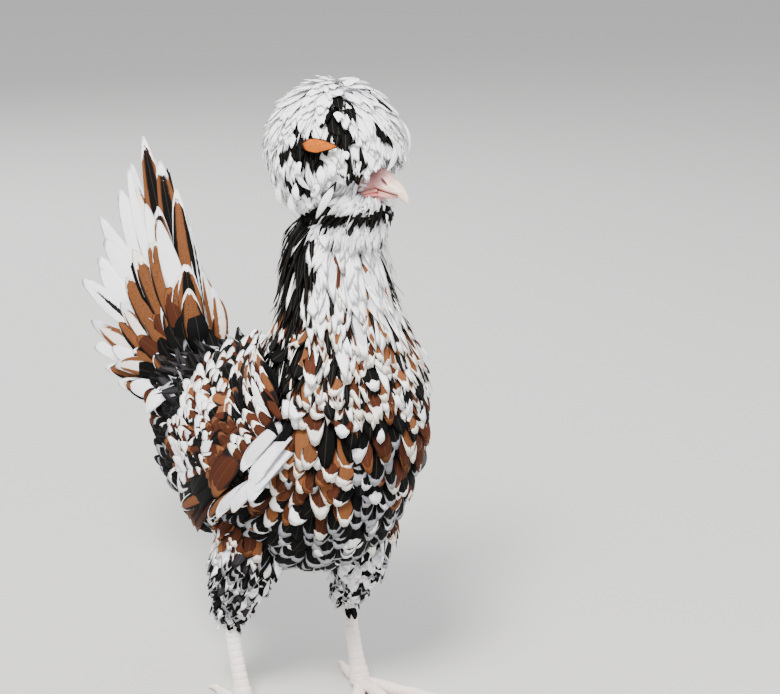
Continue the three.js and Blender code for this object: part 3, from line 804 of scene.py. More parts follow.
def toned_material(name, scale=600.0, strength=0.15, contrast=0.12, **values):
    """Skin or horn: the tone kept on the vertices, broken up by fine noise."""
    s = Nodes(name)
    where = s.node("ShaderNodeTexCoord").outputs["Object"]
    grain = s.noise(where, scale, 4.0, 0.6)
    wide = s.noise(where, scale / 8, 2.0)
    tone = s.attribute("tone").outputs["Color"]
    dark = s.math("MULTIPLY", s.ramp(grain, 0.35, 0.8), contrast)
    colour = s.mix(dark, tone, (0.05, 0.02, 0.02, 1))
    colour = s.mix(s.math("MULTIPLY", s.ramp(wide, 0.4, 0.8), contrast), colour, (0.9, 0.85, 0.8, 1))
    s.link(colour, s.shader.inputs["Base Color"])
    s.bump(grain, strength, 0.0004)
    return s.set(**values)


plumage = plumage_material()
skin_material = toned_material("skin", 500.0, 0.3, 0.15, Roughness=0.6, Specular_IOR_Level=0.35)
horn_material = toned_material("horn", 260.0, 0.08, 0.08, Roughness=0.32, Specular_IOR_Level=0.5)
scale_material = toned_material("scale", 420.0, 0.2, 0.14, Roughness=0.45, Specular_IOR_Level=0.45)
claw_material = toned_material("claw", 300.0, 0.1, 0.1, Roughness=0.3, Specular_IOR_Level=0.5)
eye_looks = {"Roughness": 0.05, "Specular_IOR_Level": 0.6, "Coat_Weight": 1.0, "Coat_Roughness": 0.02}
eye_material = toned_material("eye", 900.0, 0.0, 0.05, **eye_looks)


def paint(obj, tones):
    keep_values(obj.data, "tone", "color", tones, np.ones((len(tones), 1)))
    return obj


def ring_faces(rows, around):
    """Quads of a closed tube of rings."""
    r, c = np.meshgrid(np.arange(rows - 1), np.arange(around), indexing="ij")
    a = r * around + c
    b = r * around + (c + 1) % around
    return np.stack([a, b, b + around, a + around], axis=-1).reshape(-1, 4)


def closed_rings(rings):
    """Rings (rows, around, 3) closed by drawing both end rings to a point; faces look out."""
    rows, around, _ = rings.shape
    first = np.repeat(rings[:1].mean(axis=1, keepdims=True), around, axis=1)
    last = np.repeat(rings[-1:].mean(axis=1, keepdims=True), around, axis=1)
    near = lambda end, ring: end * 0.98 + ring * 0.02
    rings = np.concatenate([near(first, rings[:1]), rings, near(last, rings[-1:])])
    faces = ring_faces(rows + 2, around)
    co = rings.reshape(-1, 3)
    caps = []
    for base, turn in ((0, 1), ((rows + 1) * around, -1)):
        for k in range(1, around // 2):
            caps.append((base + k - 1, base + k, base + around - 1 - k, base + around - k)[::turn])
    faces = np.concatenate([faces, np.array(caps)])
    a, b, c, d = co[faces].transpose(1, 0, 2)
    fan = lambda one, two: np.einsum("ij,ij->i", a, np.cross(one, two)).sum()
    return co, faces[:, ::-1] if fan(b, c) + fan(c, d) < 0 else faces


def tube_rings(tube, rows, around):
    p = np.linspace(0.0, 1.0, rows)[:, None] + np.zeros((1, around))
    q = np.linspace(0, 2 * math.pi, around, endpoint=False)[None] + np.zeros((rows, 1))
    return tube.place(p, q)


def melt(name, parts, material, voxel, rounds):
    """One closed surface round overlapping parts, smoothed in rounds; also its vertices, in metres."""
    rough = new_mesh(f"{name}_rough", *joined([closed_rings(rings) for rings in parts]), material)
    joiner = rough.modifiers.new("join", "REMESH")
    joiner.mode = "VOXEL"
    joiner.voxel_size = voxel
    smoother = rough.modifiers.new("smooth", "SMOOTH")
    smoother.iterations = rounds
    bpy.context.view_layer.update()
    mesh = bpy.data.meshes.new_from_object(rough.evaluated_get(bpy.context.evaluated_depsgraph_get()))
    obj = bpy.data.objects.new(name, mesh)
    bpy.context.scene.collection.objects.link(obj)
    bpy.data.objects.remove(rough)
    mesh.polygons.foreach_set("use_smooth", np.ones(len(mesh.polygons), bool))
    at = np.empty(len(mesh.vertices) * 3)
    mesh.vertices.foreach_get("co", at)
    return obj, at.reshape(-1, 3)


# Skin: one closed surface inside the solids by the depth of the coat
COAT_DEPTH, THIGH_DEPTH, FACE_DEPTH = 5.0, 3.5, 0.8
ARM_RINGS = [  # share of its size, out
    (0.3, 0.5),
    (0.6, 0.2),
    (0.85, -0.6),
    (1.0, -1.6),
    (1.0, -9.0),
    (0.6, -14.0),
]
ARM_DEPTH = 4
BARE_PINK = rgb(216, 150, 146)


def arm_rings(side):
    """The folded arm that bulges under a wing."""
    slope = -math.radians(ARM["slope"])
    a = np.linspace(0, 2 * math.pi, 48, endpoint=False)
    sheet = WingSheet(side)
    rings = []
    for share, out in ARM_RINGS:
        du = np.cos(a) * (ARM["long"] - ARM_DEPTH) * share
        dv = np.sin(a) * (ARM["deep"] - ARM_DEPTH) * share
        py = ARM["y"] + du * math.cos(slope) - dv * math.sin(slope)
        pz = ARM["z"] + du * math.sin(slope) + dv * math.cos(slope)
        at = sheet.place(py, pz)
        at[:, 0] += side * out
        rings.append(at)
    return np.array(rings)


def skin():
    head = [(a, u, d - FACE_DEPTH, w - FACE_DEPTH) if a > -22 else (a, u, 2, 2) for a, u, d, w in SKULL]
    thigh = [(o, y, z, d - THIGH_DEPTH, w - THIGH_DEPTH) for o, y, z, d, w in THIGH]
    parts = [tube_rings(body_tube(COAT_DEPTH), 90, 64), tube_rings(head_tube(head), 40, 48)]
    for side, _ in SIDES:
        parts += [tube_rings(leg_tube(side, thigh), 40, 40), arm_rings(side)]
    obj, at = melt("skin", parts, skin_material, 0.0016, 5)
    return paint(obj, skin_tones(at * 1000 + ORIGIN))


def in_head(at):
    """How far points lie along, left of and up from the middle of the head."""
    rel = at - HEAD_AT
    return rel @ AHEAD, rel @ HEAD_LEFT, rel[..., 2]


def skin_tones(at):
    """Under the coat the skin has the coat's tones, darker; round bill and eyes it is bare and pink."""
    along, left, up = in_head(at)
    bare = smoothstep(14, 20, along) * smoothstep(-16, -12, up)
    near_eye = np.hypot(along - EYE["along"], up - EYE["up"])
    bare = np.maximum(bare, 1 - smoothstep(7, 10, near_eye))
    bare = bare * (np.abs(left) < 22) * (at[:, 2] > 305)
    kinds = choose(body_weights(at), at, seed=3.0)
    tones, _ = dress(kinds, 0.0)
    under = tones[:, 0] * 0.5 + tones[:, 1] * 0.3
    return under * (1 - bare[:, None]) + BARE_PINK * bare[:, None]


# Where each kind of feather grows
def band(low, high, soft, value):
    return smoothstep(low - soft, low + soft, value) * (1 - smoothstep(high - soft, high + soft, value))


def body_weights(at):
    """Shares of each kind by place, such as black down her right neck and white down its front."""
    n = len(at)
    x, y, z = at.T
    turn = np.degrees(np.arctan2(x, -(y + 42)))
    neck = smoothstep(243, 262, z + 0.12 * x)
    column = band(-168, -63, 6, turn)
    edge = band(42, 112, 10, turn)
    nape = smoothstep(112, 124, np.abs(turn))
    collar = band(212, 246, 9, z) * smoothstep(30, 5, y)
    belly = 1 - smoothstep(-9, 9, z - np.minimum(178 - 0.17 * y, 190))
    deep = 1 - smoothstep(150, 172, z)
    rump = smoothstep(52, 84, y)
    back = smoothstep(-5, 30, y) * smoothstep(170, 195, z) * (1 - rump)
    breast = np.clip(1 - neck - belly - rump - back, 0, 1)
    dark_side = smoothstep(-5, 25, x) * (y < 20)
    low_flank = band(130, 192, 7, z) * smoothstep(-104, -90, y) * smoothstep(5, 26, np.abs(x)) * (1 - rump)
    # painted shade: a strip of black feathers on her right breast where the gap in front of the wing lies in
    # shadow
    wing_gap_shade = band(-94, -78, 4, y) * band(168, 192, 5, z) * smoothstep(10, 26, -x)
    blaze = band(150, 172, 5, z) * band(-2, 26, 6, x) * (y < 0)
    out = np.zeros((n, len(NAMES)))

    def add(weight, **shares):
        for name, share in shares.items():
            out[:, NAMES.index(name)] += np.maximum(weight, 0) * share

    throat = band(258, 290, 6, z) * band(-38, 26, 8, turn) * (y < 0)
    front = neck * (1 - column) * (1 - edge) * (1 - nape)
    add(front, white=0.70, pearl=0.24, cream=0.02, tear=0.02, spangle=0.02)
    add(throat, bright=0.22, tear=0.16, black=0.14, white=0.1)
    side_streak = smoothstep(206, 226, z + 0.12 * x) * (1 - neck) * band(-168, -58, 7, turn) * (1 - rump)
    dark_neck = np.maximum(neck * column, side_streak * 1.6) * (1 - nape)
    add(dark_neck, black=0.88, white=0.03, laced=0.03, almond=0.05, slate=0.01)
    add(neck * edge, white=0.38, black=0.3, laced=0.16, tear=0.08, bright=0.08)
    add(neck * nape, black=0.5, laced=0.2, bright=0.1, white=0.2)
    upper = breast * collar
    right, left = breast * (1 - collar) * (1 - dark_side), breast * (1 - collar) * dark_side
    add(upper * (1 - column), white=0.07, bright=0.24, spangle=0.24, tear=0.17, drop=0.14, black=0.16)
    add(upper * column, black=0.6, laced=0.16, spangle=0.1, tear=0.14)
    add(right, spangle=0.28, drop=0.19, bright=0.17, tear=0.12, chestnut=0.14, black=0.08, white=0.04)
    add(left, spangle=0.24, tear=0.26, drop=0.12, bright=0.06, black=0.18, chestnut=0.08, cream=0.06)
    add(blaze, chestnut=0.5, bright=0.4, spangle=0.2)
    crescents = belly * (1 - 0.86 * low_flank)
    add(crescents * deep, slate=0.62, laced=0.14, black=0.18, tear=0.06)
    add(crescents * (1 - deep), slate=0.38, laced=0.44, black=0.06, tear=0.08, chestnut=0.04)
    # black feathers painted in as the shadow in the gap in front of her right wing
    add(wing_gap_shade, black=1.6)
    add(low_flank, chestnut=0.40, bright=0.22, spangle=0.16, tear=0.08, laced=0.08, black=0.06)
    add(back, spangle=0.26, bright=0.14, laced=0.18, tear=0.14, black=0.12, chestnut=0.1, white=0.06)
    add(rump, black=0.56, laced=0.07, sooty=0.2, slate=0.09, white=0.04, striped=0.08)
    return out


def inside_body(at, margin):
    return np.abs(at[:, 0]) < body_width(at[:, 1], at[:, 2]) - margin


def under_head(at):
    """Roots that the head hides."""
    along, left, up = in_head(at)
    return (along / 20) ** 2 + (left / 13) ** 2 + (up / 14) ** 2 < 1


def body_coat():
    coat = Coat()
    spacing = 6.2
    p, q, at = scatter(body, (0.012, 0.68), (0, 2 * math.pi), spacing)
    y, z = at[:, 1], at[:, 2]
    n = len(p)
    rump = smoothstep(85, 125, y)
    high = smoothstep(0, 40, y) * smoothstep(165, 195, z)
    under = 1 - smoothstep(120, 150, z)
    long = 25 + 5 * high + 6 * rump + rng.normal(0, 2.0, n)
    wide = 12.2 + 2.0 * high - 0.5 * rump + 2.4 * under - 2.0 * smoothstep(215, 245, z)
    wide = wide + rng.normal(0, 1.1, n)
    tip = body.place(np.clip(p - 0.04, 0, 1), q)
    kinds = choose(body_weights(tip), tip, scale=12.0, pull=1.8, seed=3.0)
    tones, marks = dress(kinds)
    turn = rng.normal(0, 0.2, n)
    soft = rump > 0.35
    for fluffy in (False, True):
        m = soft == fluffy
        some = (one[m] for one in (p, q, turn, long, wide, tones, marks))
        lay(coat, body, *some, "rump" if fluffy else "body", COAT_DEPTH, rng.gamma(1.6, 0.7, m.sum()),
            rng.normal(0.02, 0.035, m.sum()))
    return coat


def neck_coat():
    coat = Coat()
    spacing = 3.6
    p, q, at = scatter(body, (0.635, 0.965), (0, 2 * math.pi), spacing, keep=lambda at: ~under_head(at))
    n = len(p)
    z = at[:, 2]
    high = smoothstep(245, 305, z)
    tip = body.place(np.clip(p - 0.06, 0, 1), q)
    kinds = choose(body_weights(tip), tip, scale=10.0, pull=1.6, seed=5.0)
    dark = np.isin(kinds, numbers(("black", "laced", "chestnut", "slate", "almond")))
    long = 31 - 7 * high + rng.normal(0, 2.0, n)
    wide = 9.5 - 2.6 * high + rng.normal(0, 0.7, n) - 3.0 * dark
    tones, marks = dress(kinds, 0.06)
    turn = rng.normal(0, 0.13, n)
    for narrow in (False, True):
        m = dark == narrow
        some = (one[m] for one in (p, q, turn, long, wide, tones, marks))
        lay(coat, body, *some, "hackle" if narrow else "neck", 4.0, rng.gamma(1.5, 0.6, m.sum()),
            rng.normal(0.02, 0.03, m.sum()))
    return coat


def thigh_coat(side):
    coat = Coat()
    tube = thighs[side]
    spacing = 4.1
    p, q, at = scatter(tube, (0.0, 0.93), (0, 2 * math.pi), spacing, keep=lambda at: ~inside_body(at, 6.0))
    n = len(p)
    low = smoothstep(0.5, 0.95, p)
    long = 21 - 8 * low + rng.normal(0, 1.5, n)
    wide = 11.0 - 4.0 * low + rng.normal(0, 0.6, n)
    weights = mixture(n, slate=0.26, laced=0.14, black=0.2, white=0.1, pearl=0.16, sooty=0.06, striped=0.08)
    kinds = choose(weights, at, scale=11.0, pull=2.4, seed=9.0 + side)
    flank = at[:, 2] > 122
    kinds[flank] = np.resize(numbers(("chestnut", "bright", "spangle")), flank.sum())
    tones, marks = dress(kinds, 0.15)
    lay(coat, tube, p, q, rng.normal(0, 0.25, n), long, wide, tones, marks, "thigh", THIGH_DEPTH,
        rng.gamma(1.6, 0.6, n), rng.normal(0.03, 0.04, n))
    return coat


def tail_fluff():
    """Soft plumes that stand at the foot of the tail."""
    coat = Coat()
    spacing = 4.6
    keep = lambda at: (at[:, 1] > 48) & (at[:, 1] < 124) & (at[:, 2] > 184)
    p, q, at = scatter(body, (0.03, 0.45), (0.5, 2.64), spacing, keep=keep)
    n = len(p)
    weights = mixture(n, sooty=0.45, slate=0.16, black=0.37, pearl=0.02)
    tones, marks = dress(choose(weights, at, scale=10.0, seed=13.0), 0.2)
    turn, long, wide = rng.normal(0, 0.35, n), 32 + rng.normal(0, 4, n), 8.5 + rng.normal(0, 1.0, n)
    lay(coat, body, p, q, turn, long, wide, tones, marks, "fluff", 4, rng.gamma(2.0, 1.8, n),
        np.clip(rng.normal(0.18, 0.08, n), 0, 0.34))
    return coat


def mix(ends, t):
    return ends[0] + (ends[1] - ends[0]) * t


def blend(tone, colour, share):
    return tone * (1 - share) + colour * share


# Head: face, beard, crest
def face_coat():
    coat = Coat()
    spacing = 1.7

    def keep(at):
        along, _, up = in_head(at)
        near_eye = np.hypot(along - EYE["along"], up - EYE["up"])
        above_mouth = np.interp(along, [12, 23], [-5, 2])
        return (near_eye > 6.6) & (along < 23.5) & ((up > above_mouth) | (along < 10) | (up < -8))

    p, q, at = scatter(skull, (0.1, 0.985), (0, 2 * math.pi), spacing, keep=keep)
    n = len(p)
    front = smoothstep(0.5, 0.95, p)
    high = smoothstep(-6, 2, in_head(at)[2])
    weights = mixture(n, pearl=0.40, white=0.52, black=0.05, slate=0.03)
    tones, marks = dress(choose(weights, at, scale=6.0, seed=21.0))
    long = 11.0 - 2.5 * front + rng.normal(0, 0.6, n)
    wide = 3.8 - 0.9 * front + rng.normal(0, 0.2, n)
    lay(coat, skull, p, q, rng.normal(0, 0.2, n), long, wide, tones, marks, "face", 1.2,
        rng.uniform(0.1, 0.8, n) + 0.2 * high)
    return coat


def jaw(turn, reach, up):
    """Points round the jaw: the turn from the bill, the reach from the middle and the height."""
    level = np.stack([np.cos(turn), np.sin(turn)], axis=-1) * reach[:, None]
    return HEAD_AT + (2 + level[:, :1]) * AHEAD + level[:, 1:] * HEAD_LEFT + up[:, None] * UP


BEARD_TIERS = [  # how many, half arc and the share of it left bare in front; in front and at the side: root
    # reach, root up, tip reach, tip up, sweep; then width and shares
    (400, 128, 0.0, (16, 11), (-15, -17), (17, 23), (-37, -37), (8, 36), 7.5,
     dict(pearl=0.46, white=0.36, slate=0.10, sooty=0.04, black=0.04)),
    (360, 116, 0.0, (18.5, 12.5), (-9, -8), (20.5, 26.5), (-22, -21), (12, 50), 5.2,
     dict(black=0.84, slate=0.05, striped=0.06, pearl=0.05)),
    (430, 118, 0.0, (20, 13), (-7, 0), (21, 27), (-15, -12), (14, 54), 6.0,
     dict(pearl=0.44, white=0.50, slate=0.03, black=0.03)),
    (190, 116, 0.27, (15.5, 13), (2.5, 8), (19.5, 26), (-6, -5), (16, 58), 5.0,
     dict(pearl=0.40, white=0.56, black=0.04)),
]


def beard_coat():
    """Beard under the bill and muffs on the cheeks: tiers of soft feathers that hang and sweep back."""
    coat = Coat()
    for tier, row_of in enumerate(BEARD_TIERS):
        count, arc, bare, root_reach, root_up, tip_reach, tip_up, sweep, wide, shares = row_of
        n = count
        place = rng.uniform(bare, 1, n) * rng.choice([-1, 1], n)
        side = np.abs(place) ** 1.1
        row = rng.random(n)
        turn = np.radians(arc) * place
        swept = np.radians(mix(sweep, smoothstep(0.05, 0.6, np.abs(place))))
        back = np.sign(place) * swept + rng.normal(0, 0.08, n)
        up = mix(root_up, side) - (row - 0.5) * 5
        reach = mix(root_reach, side) - row * 1.5
        low = mix(tip_up, side) + rng.normal(0, 1.6, n) - (row - 0.5) * 4
        far = mix(tip_reach, side) + rng.normal(0, 1.2, n)
        root = jaw(turn, reach, up)
        through = jaw(turn + back * 0.5, (reach + far) * 0.5 + 3.5, (up + low) * 0.5 + 2.0)
        tip = jaw(turn + back, far, low)
        face = unit(jaw(turn, np.ones(n), np.zeros(n)) - HEAD_AT + UP * 0.5)
        patch = np.stack([0.5 + 0.45 * place, 0.15 + 0.25 * tier + 0.2 * row], axis=-1)
        kinds = choose(mixture(n, **shares), root, scale=6.0, pull=1.2, seed=31.0 + tier)
        tones, marks = dress(kinds, 0.08)
        bows = Bows(root, through, tip, face, patch)
        lay_bows(coat, bows, wide + rng.normal(0, 0.6, n), tones, marks, "beard", rng.uniform(0, 1.2, n))
    return coat


CREST_HEM = np.array([  # turn from the bill, lowest angle from the crown
    (-180, 136), (-118, 139), (-96, 139), (-80, 130), (-68, 118), (-56, 110), (-42, 108), (-30, 105),
    (-20, 100), (-8, 94), (8, 94), (20, 99), (30, 104), (42, 108), (56, 110), (70, 116), (84, 128),
    (100, 136), (180, 136),
])
CREST_MARKS = [  # angle from the crown, turn from the bill, reach of angle and of turn, kind
    (34, -62, 3, 6, "black"),
    (44, -48, 6, 14, "black"),
    (58, -40, 8, 8, "black"),
    (69, -54, 6, 12, "black"),
    (79, -45, 5, 6, "black"),
    (88, -73, 8, 22, "black"),
    (93, -98, 7, 8, "black"),
    (99, -78, 6, 12, "black"),
    (102, -61, 5, 13, "black"),
    (122, -88, 7, 17, "black"),
    (60, 14, 7, 3, "black"),
    (82, -8, 9, 8, "black"),
    (94, -41, 5, 5, "black"),
    (97, -28, 5, 4, "black"),
    (107, -37, 3.5, 7, "black"),
    (104, 15, 5, 7, "black"),
    (100, 90, 8, 9, "black"),
    (74, 150, 6, 8, "black"),
    (112, 170, 8, 12, "laced"),
]
CREST_SINGLES = [  # angle and turn of the root and of the tip, width, kind
    (77, -80, 78, -48, 12.5, "orange"),
    (80, -46, 88, -44, 5.5, "white"),
    (50, -50, 61, -50, 7.5, "white"),
    (88, -56, 100, -54, 7.0, "white"),
    (88, -80, 99, -79, 4.5, "white"),
    (92, -64, 105, -62, 7.5, "white"),
    (99, -84, 109, -70, 6.0, "pearl"),
    (102, -52, 134, -74, 8.0, "framed"),
    (108, -104, 132, -112, 8.0, "white"),
    (106, -86, 119, -84, 7.0, "white"),
    (116, -94, 138, -98, 8.0, "white"),
    (64, 26, 92, 14, 8.0, "white"),
    (80, 2, 100, -14, 8.0, "white"),
    (30, -4, 42, -9, 2.4, "black"),
    (20, -46, 30, -38, 2.2, "black"),
]


CREST_LAYERS = [  # scale, spacing, width, length
    (0.84, 5.0, 11.0, 28),
    (0.965, 3.5, 9.5, 24),
    (0.985, 4.4, 1.6, 18),
]


def crest_coat():
    """Soft plumes from the crown outward: an inner layer, an outer one, wisps, and single ones on top."""
    coat = Coat()
    few = 1.0
    for layer, (scale, spacing, broad, reach) in enumerate(CREST_LAYERS):
        globe = Globe(scale)
        radius = globe.wide
        p, q, at = scatter(globe, (0.02, math.radians(130)), (-math.pi, math.pi), spacing * few)
        left_over = np.radians(np.interp(np.degrees(q), CREST_HEM[:, 0], CREST_HEM[:, 1])) - p
        keep = left_over > 0.16
        p, q, at, left_over = p[keep], q[keep], at[keep], left_over[keep]
        n = len(p)
        reach = reach * (0.42 + 0.58 * smoothstep(0.02, 0.55, p))
        long = np.minimum(reach + rng.normal(0, 0.1 * reach, n), left_over * radius + rng.uniform(-1, 2, n))
        stray = 0.16 + 0.9 * (1 - smoothstep(0.1, 0.6, p))
        turn = 0.1 + rng.normal(0, 1, n) * stray
        seen = 0.88 * long
        spot, _ = globe.walk(p, q, (seen * np.sin(turn))[:, None], (seen * np.cos(turn))[:, None])
        way = unit((spot[:, 0] - CREST_AT) / np.array([globe.wide, globe.wide, globe.top]))
        angle = np.degrees(np.arccos(np.clip(way[:, 2], -1, 1)))
        turned = np.degrees(np.arctan2(way @ globe.left, way @ globe.ahead))
        kinds = choose(mixture(n, white=0.93, pearl=0.07), at, scale=8.0, seed=41.0 + layer)
        for far, towards_bill, high, wide, kind in CREST_MARKS:
            off = ((angle - far) / high) ** 2 + (((turned - towards_bill + 180) % 360 - 180) / wide) ** 2
            kinds[off < 1 + rng.normal(0, 0.12, n)] = NAMES.index(kind)
        tones, marks = dress(kinds, 0.05)
        crown = 1 - smoothstep(0.1, 0.9, p)
        hem = smoothstep(1.2, 2.1, p + long / radius)
        lay(coat, globe, p, q, turn, long, broad + rng.normal(0, 0.1 * broad, n), tones, marks,
            "wisp" if layer == 2 else "crest", 5.0 - 3.0 * crown, rng.gamma(1.4, 0.45, n) + 0.3 * crown,
            rng.normal(-0.01, 0.025, n) - 0.05 * crown - 0.14 * hem)
    globe = Globe(1.0)
    a, b, c, d, wide = np.array([one[:5] for one in CREST_SINGLES]).T
    place = lambda angle, turn: globe.surface(globe.direction(np.radians(angle), np.radians(turn)))
    (root, face), (tip, _), (through, _) = place(a, b), place(c, d), place((a + c) / 2, (b + d) / 2)
    names = [one[5] for one in CREST_SINGLES]
    tones, marks = dress(numbers(names), 0.0)
    root = root + face * np.where(np.isin(names, ("orange", "framed")), 1.6, -1.0)[:, None]
    high = np.where(np.isin(names, "framed"), 3.0, 0.0)[:, None]
    patch = globe.patch(np.radians(a), np.radians(b))
    bows = Bows(root, through + face * (2.2 + high), tip + face * (1.6 + high), face, patch)
    lay_bows(coat, bows, wide, tones, marks, "leaf")
    return coat


# Wings
QUILLS = [  # from the innermost tier: how many, width, out, roots and tips of the top and lowest feather
    (6, 13, -0.6, ((-34, 180), (-44, 178)), ((70, 114), (58, 99))),
    (14, 16.5, 0.8, ((-10, 200), (-38, 182)), ((38, 186), (56, 106))),
    (14, 14.5, 2.6, ((-14, 204), (-40, 186)), ((24, 194), (18, 130))),
    (12, 14.0, 4.2, ((-20, 208), (-44, 190)), ((12, 202), (-12, 148))),
]
QUILL_KINDS = [
    dict(white=0.3, pale=0.4, laced=0.3),
    dict(spangle=0.22, chestnut=0.24, drop=0.16, laced=0.2, pale=0.08, black=0.1),
    dict(spangle=0.30, drop=0.24, chestnut=0.16, tear=0.14, laced=0.16),
    dict(spangle=0.34, drop=0.22, tear=0.18, bright=0.14, black=0.12),
]
WING_SINGLES = [  # y and z of the root and of the tip, out, width, kind
    (-30, 160, 50, 118, 3.6, 10, "margined"),
    (-44, 166, -2, 130, 4.4, 8, "margined"),
    (-54, 172, -14, 134, 5.0, 8, "silver"),
    (-62, 178, -34, 144, 5.4, 9, "silver"),
    (-66, 188, -50, 155, 6.0, 12, "silver"),
    (-65, 196, -52, 164, 6.4, 12, "white"),
    (-62, 203, -44, 172, 6.6, 10, "silver"),
    (90, 182, 119, 162, 3.0, 16, "white"),
]
FAR_SINGLES = 3  # how many of them her left wing has
WING_MARKS = [  # y, z, reach of y and of z, kind
    (-22, 166, 12, 12, "chestnut"),
    (-66, 190, 8, 8, "white"),
    (4, 153, 10, 9, "black"),
    (13, 140, 8, 6, "pale"),
    (24, 126, 12, 8, "chestnut"),
    (48, 172, 14, 14, "black"),
]


def marked(kinds, y, z, places):
    """The same kinds with those that lie in a marked place changed."""
    for at_y, at_z, wide, high, kind in places:
        off = ((y - at_y) / wide) ** 2 + ((z - at_z) / high) ** 2
        kinds[off < 1 + rng.normal(0, 0.12, len(kinds))] = NAMES.index(kind)
    return kinds


def wing_coat(side):
    coat = Coat()
    sheet = WingSheet(side)
    raise_by = lambda at, by: at + np.stack([side * by, 0 * by, 0 * by], axis=-1)

    def long_feathers(a, b, above, width, sink, kinds=None, tier=None):
        """Feathers from the points a to the points b (y, z) of the wing's outer face."""
        m = (a + b) / 2
        root = raise_by(sheet.place(a[:, 0], a[:, 1]), above - sink)
        through = raise_by(sheet.place(m[:, 0], m[:, 1]), above)
        tip = raise_by(sheet.place(b[:, 0], b[:, 1]), above)
        bows = Bows(root, through, tip, sheet.normal(m[:, 0], m[:, 1]), sheet.patch(a[:, 0], a[:, 1]))
        if kinds is None:
            kinds = choose(mixture(len(a), **QUILL_KINDS[tier]), through, scale=12.0, seed=51.0 + tier)
            kinds = marked(kinds, *(a * 0.3 + b * 0.7).T, WING_MARKS)
        tones, marks = dress(kinds)
        lay_bows(coat, bows, width, tones, marks, "quill", rng.uniform(0, 1.0, len(a)))

    for tier, (count, width, out, roots, tips) in enumerate(QUILLS):
        t = np.linspace(0, 1, count)
        a = np.stack([mix((roots[0][k], roots[1][k]), t) for k in (0, 1)], axis=-1)
        b = np.stack([mix((tips[0][k], tips[1][k]), t) for k in (0, 1)], axis=-1)
        b = b + rng.normal(0, 1.4, b.shape)
        long_feathers(a, b, out + (1 - t) * 1.6, width + rng.normal(0, 1.0, count), 4, tier=tier)
    chosen = WING_SINGLES if side == RIGHT else WING_SINGLES[:FAR_SINGLES]
    table = np.array([one[:6] for one in chosen])
    singles = numbers([one[6] for one in chosen])
    long_feathers(table[:, :2], table[:, 2:4], table[:, 4], table[:, 5], 10, kinds=singles)

    slope = -math.radians(ARM["slope"])
    spacing = 5.0

    def share_of(at):
        dy, dz = at[:, 1] - ARM["y"], at[:, 2] - ARM["z"]
        along = (dy * math.cos(slope) + dz * math.sin(slope)) / ARM["long"]
        across = (-dy * math.sin(slope) + dz * math.cos(slope)) / ARM["deep"]
        return np.hypot(along, across), along

    keep = lambda at: (share_of(at)[0] < 1.1) & (share_of(at)[1] < 0.95)
    p, q, at = scatter(sheet, (-66, 44), (150, 226), spacing, keep=keep)
    share, along = share_of(at)
    n = len(p)
    weights = mixture(n, spangle=0.26, drop=0.22, tear=0.18, bright=0.14, black=0.10, white=0.10)
    kinds = choose(weights, at, scale=10.0, seed=61.0 + side)
    kinds = marked(kinds, at[:, 1] + 10, at[:, 2] - 7, WING_MARKS)
    tones, marks = dress(kinds)
    out = 6.6 * (1 - np.minimum(share, 1) ** 2 * 0.25)
    turn = side * (math.radians(-30) + 0.2 * along) + rng.normal(0, 0.15, n)
    long, wide = 23 + rng.normal(0, 1.6, n), 9.6 + rng.normal(0, 0.8, n)
    lay(coat, sheet, p, q, turn, long, wide, tones, marks, "covert", 4 - out,
        out * 0.85 + rng.gamma(1.6, 0.6, n))
    return coat


# Tail
PLUMES = [  # long feathers of one side, then shorter ones over them: rise, splay, length, out, width, kind
    (70, 0, 118, 1.0, 14, "margined"),
    (67, 0.5, 138, 1.5, 15, "ember"),
    (63.5, 1.0, 158, 2.6, 18, "ember"),
    (61, 1.5, 148, 2.0, 14, "fawn"),
    (58, 2.5, 151, 3.0, 13, "pale"),
    (55, 4.0, 145, 3.2, 17, "white"),
    (51, 6.0, 138, 3.6, 21, "white"),
    (46, 8.0, 132, 4.0, 18, "streaked"),
    (41, 10, 122, 4.4, 21, "white"),
    (37, 12, 116, 4.8, 17, "white"),
    (33, 15, 108, 5.0, 15, "streaked"),
    (29, 17, 114, 5.2, 16, "striped"),
    (19, 20, 94, 5.6, 14, "pale"),
    (10, 20, 88, 6.0, 16, "pearl"),
    (3, 21, 76, 6.4, 14, "margined"),
    (-4, 22, 66, 6.8, 14, "white"),
    (70, 3.0, 96, 5.4, 15, "white"),
    (65, 4.0, 108, 5.6, 14, "ember"),
    (60, 4.0, 114, 6.0, 12, "white"),
    (66, 6.0, 88, 6.6, 16, "fawn"),
    (61, 8.0, 90, 6.8, 16, "fawn"),
    (55, 9.0, 92, 6.9, 17, "fawn"),
    (51, 10, 88, 7.0, 13, "black"),
    (47, 11, 80, 7.4, 14, "fawn"),
    (42, 13, 84, 7.6, 17, "fawn"),
    (34, 16, 78, 7.8, 14, "pale"),
    (26, 19, 76, 8.0, 13, "margined"),
    (17, 22, 70, 8.2, 13, "white"),
    (7, 24, 64, 8.4, 13, "pale"),
    (-4, 26, 56, 8.6, 13, "margined"),
    (76, 4, 66, 8.0, 14, "ember"),
    (71, 7, 62, 8.4, 14, "fawn"),
    (66, 9, 58, 9.0, 15, "chestnut"),
    (82, 5, 50, 9.6, 14, "fawn"),
    (58, 10, 54, 9.6, 15, "capped"),
    (50, 13, 52, 10, 14, "chestnut"),
    (40, 15, 56, 10, 13, "fawn"),
    (30, 18, 54, 10.4, 13, "chestnut"),
    (20, 21, 52, 10.8, 13, "margined"),
    (9, 25, 48, 11.2, 13, "laced"),
    (-4, 28, 44, 11.6, 13, "white"),
    (80, 8, 36, 10, 14, "black"),
    (72, 12, 36, 11, 14, "black"),
    (60, 18, 34, 12, 14, "black"),
    (46, 22, 34, 13, 14, "black"),
    (28, 27, 32, 13, 13, "capped"),
    (10, 32, 30, 13, 13, "black"),
    (-8, 36, 30, 13, 13, "chestnut"),
]
TAIL_SINK = 18.0  # how far below the highest plumes the lowest ones are rooted


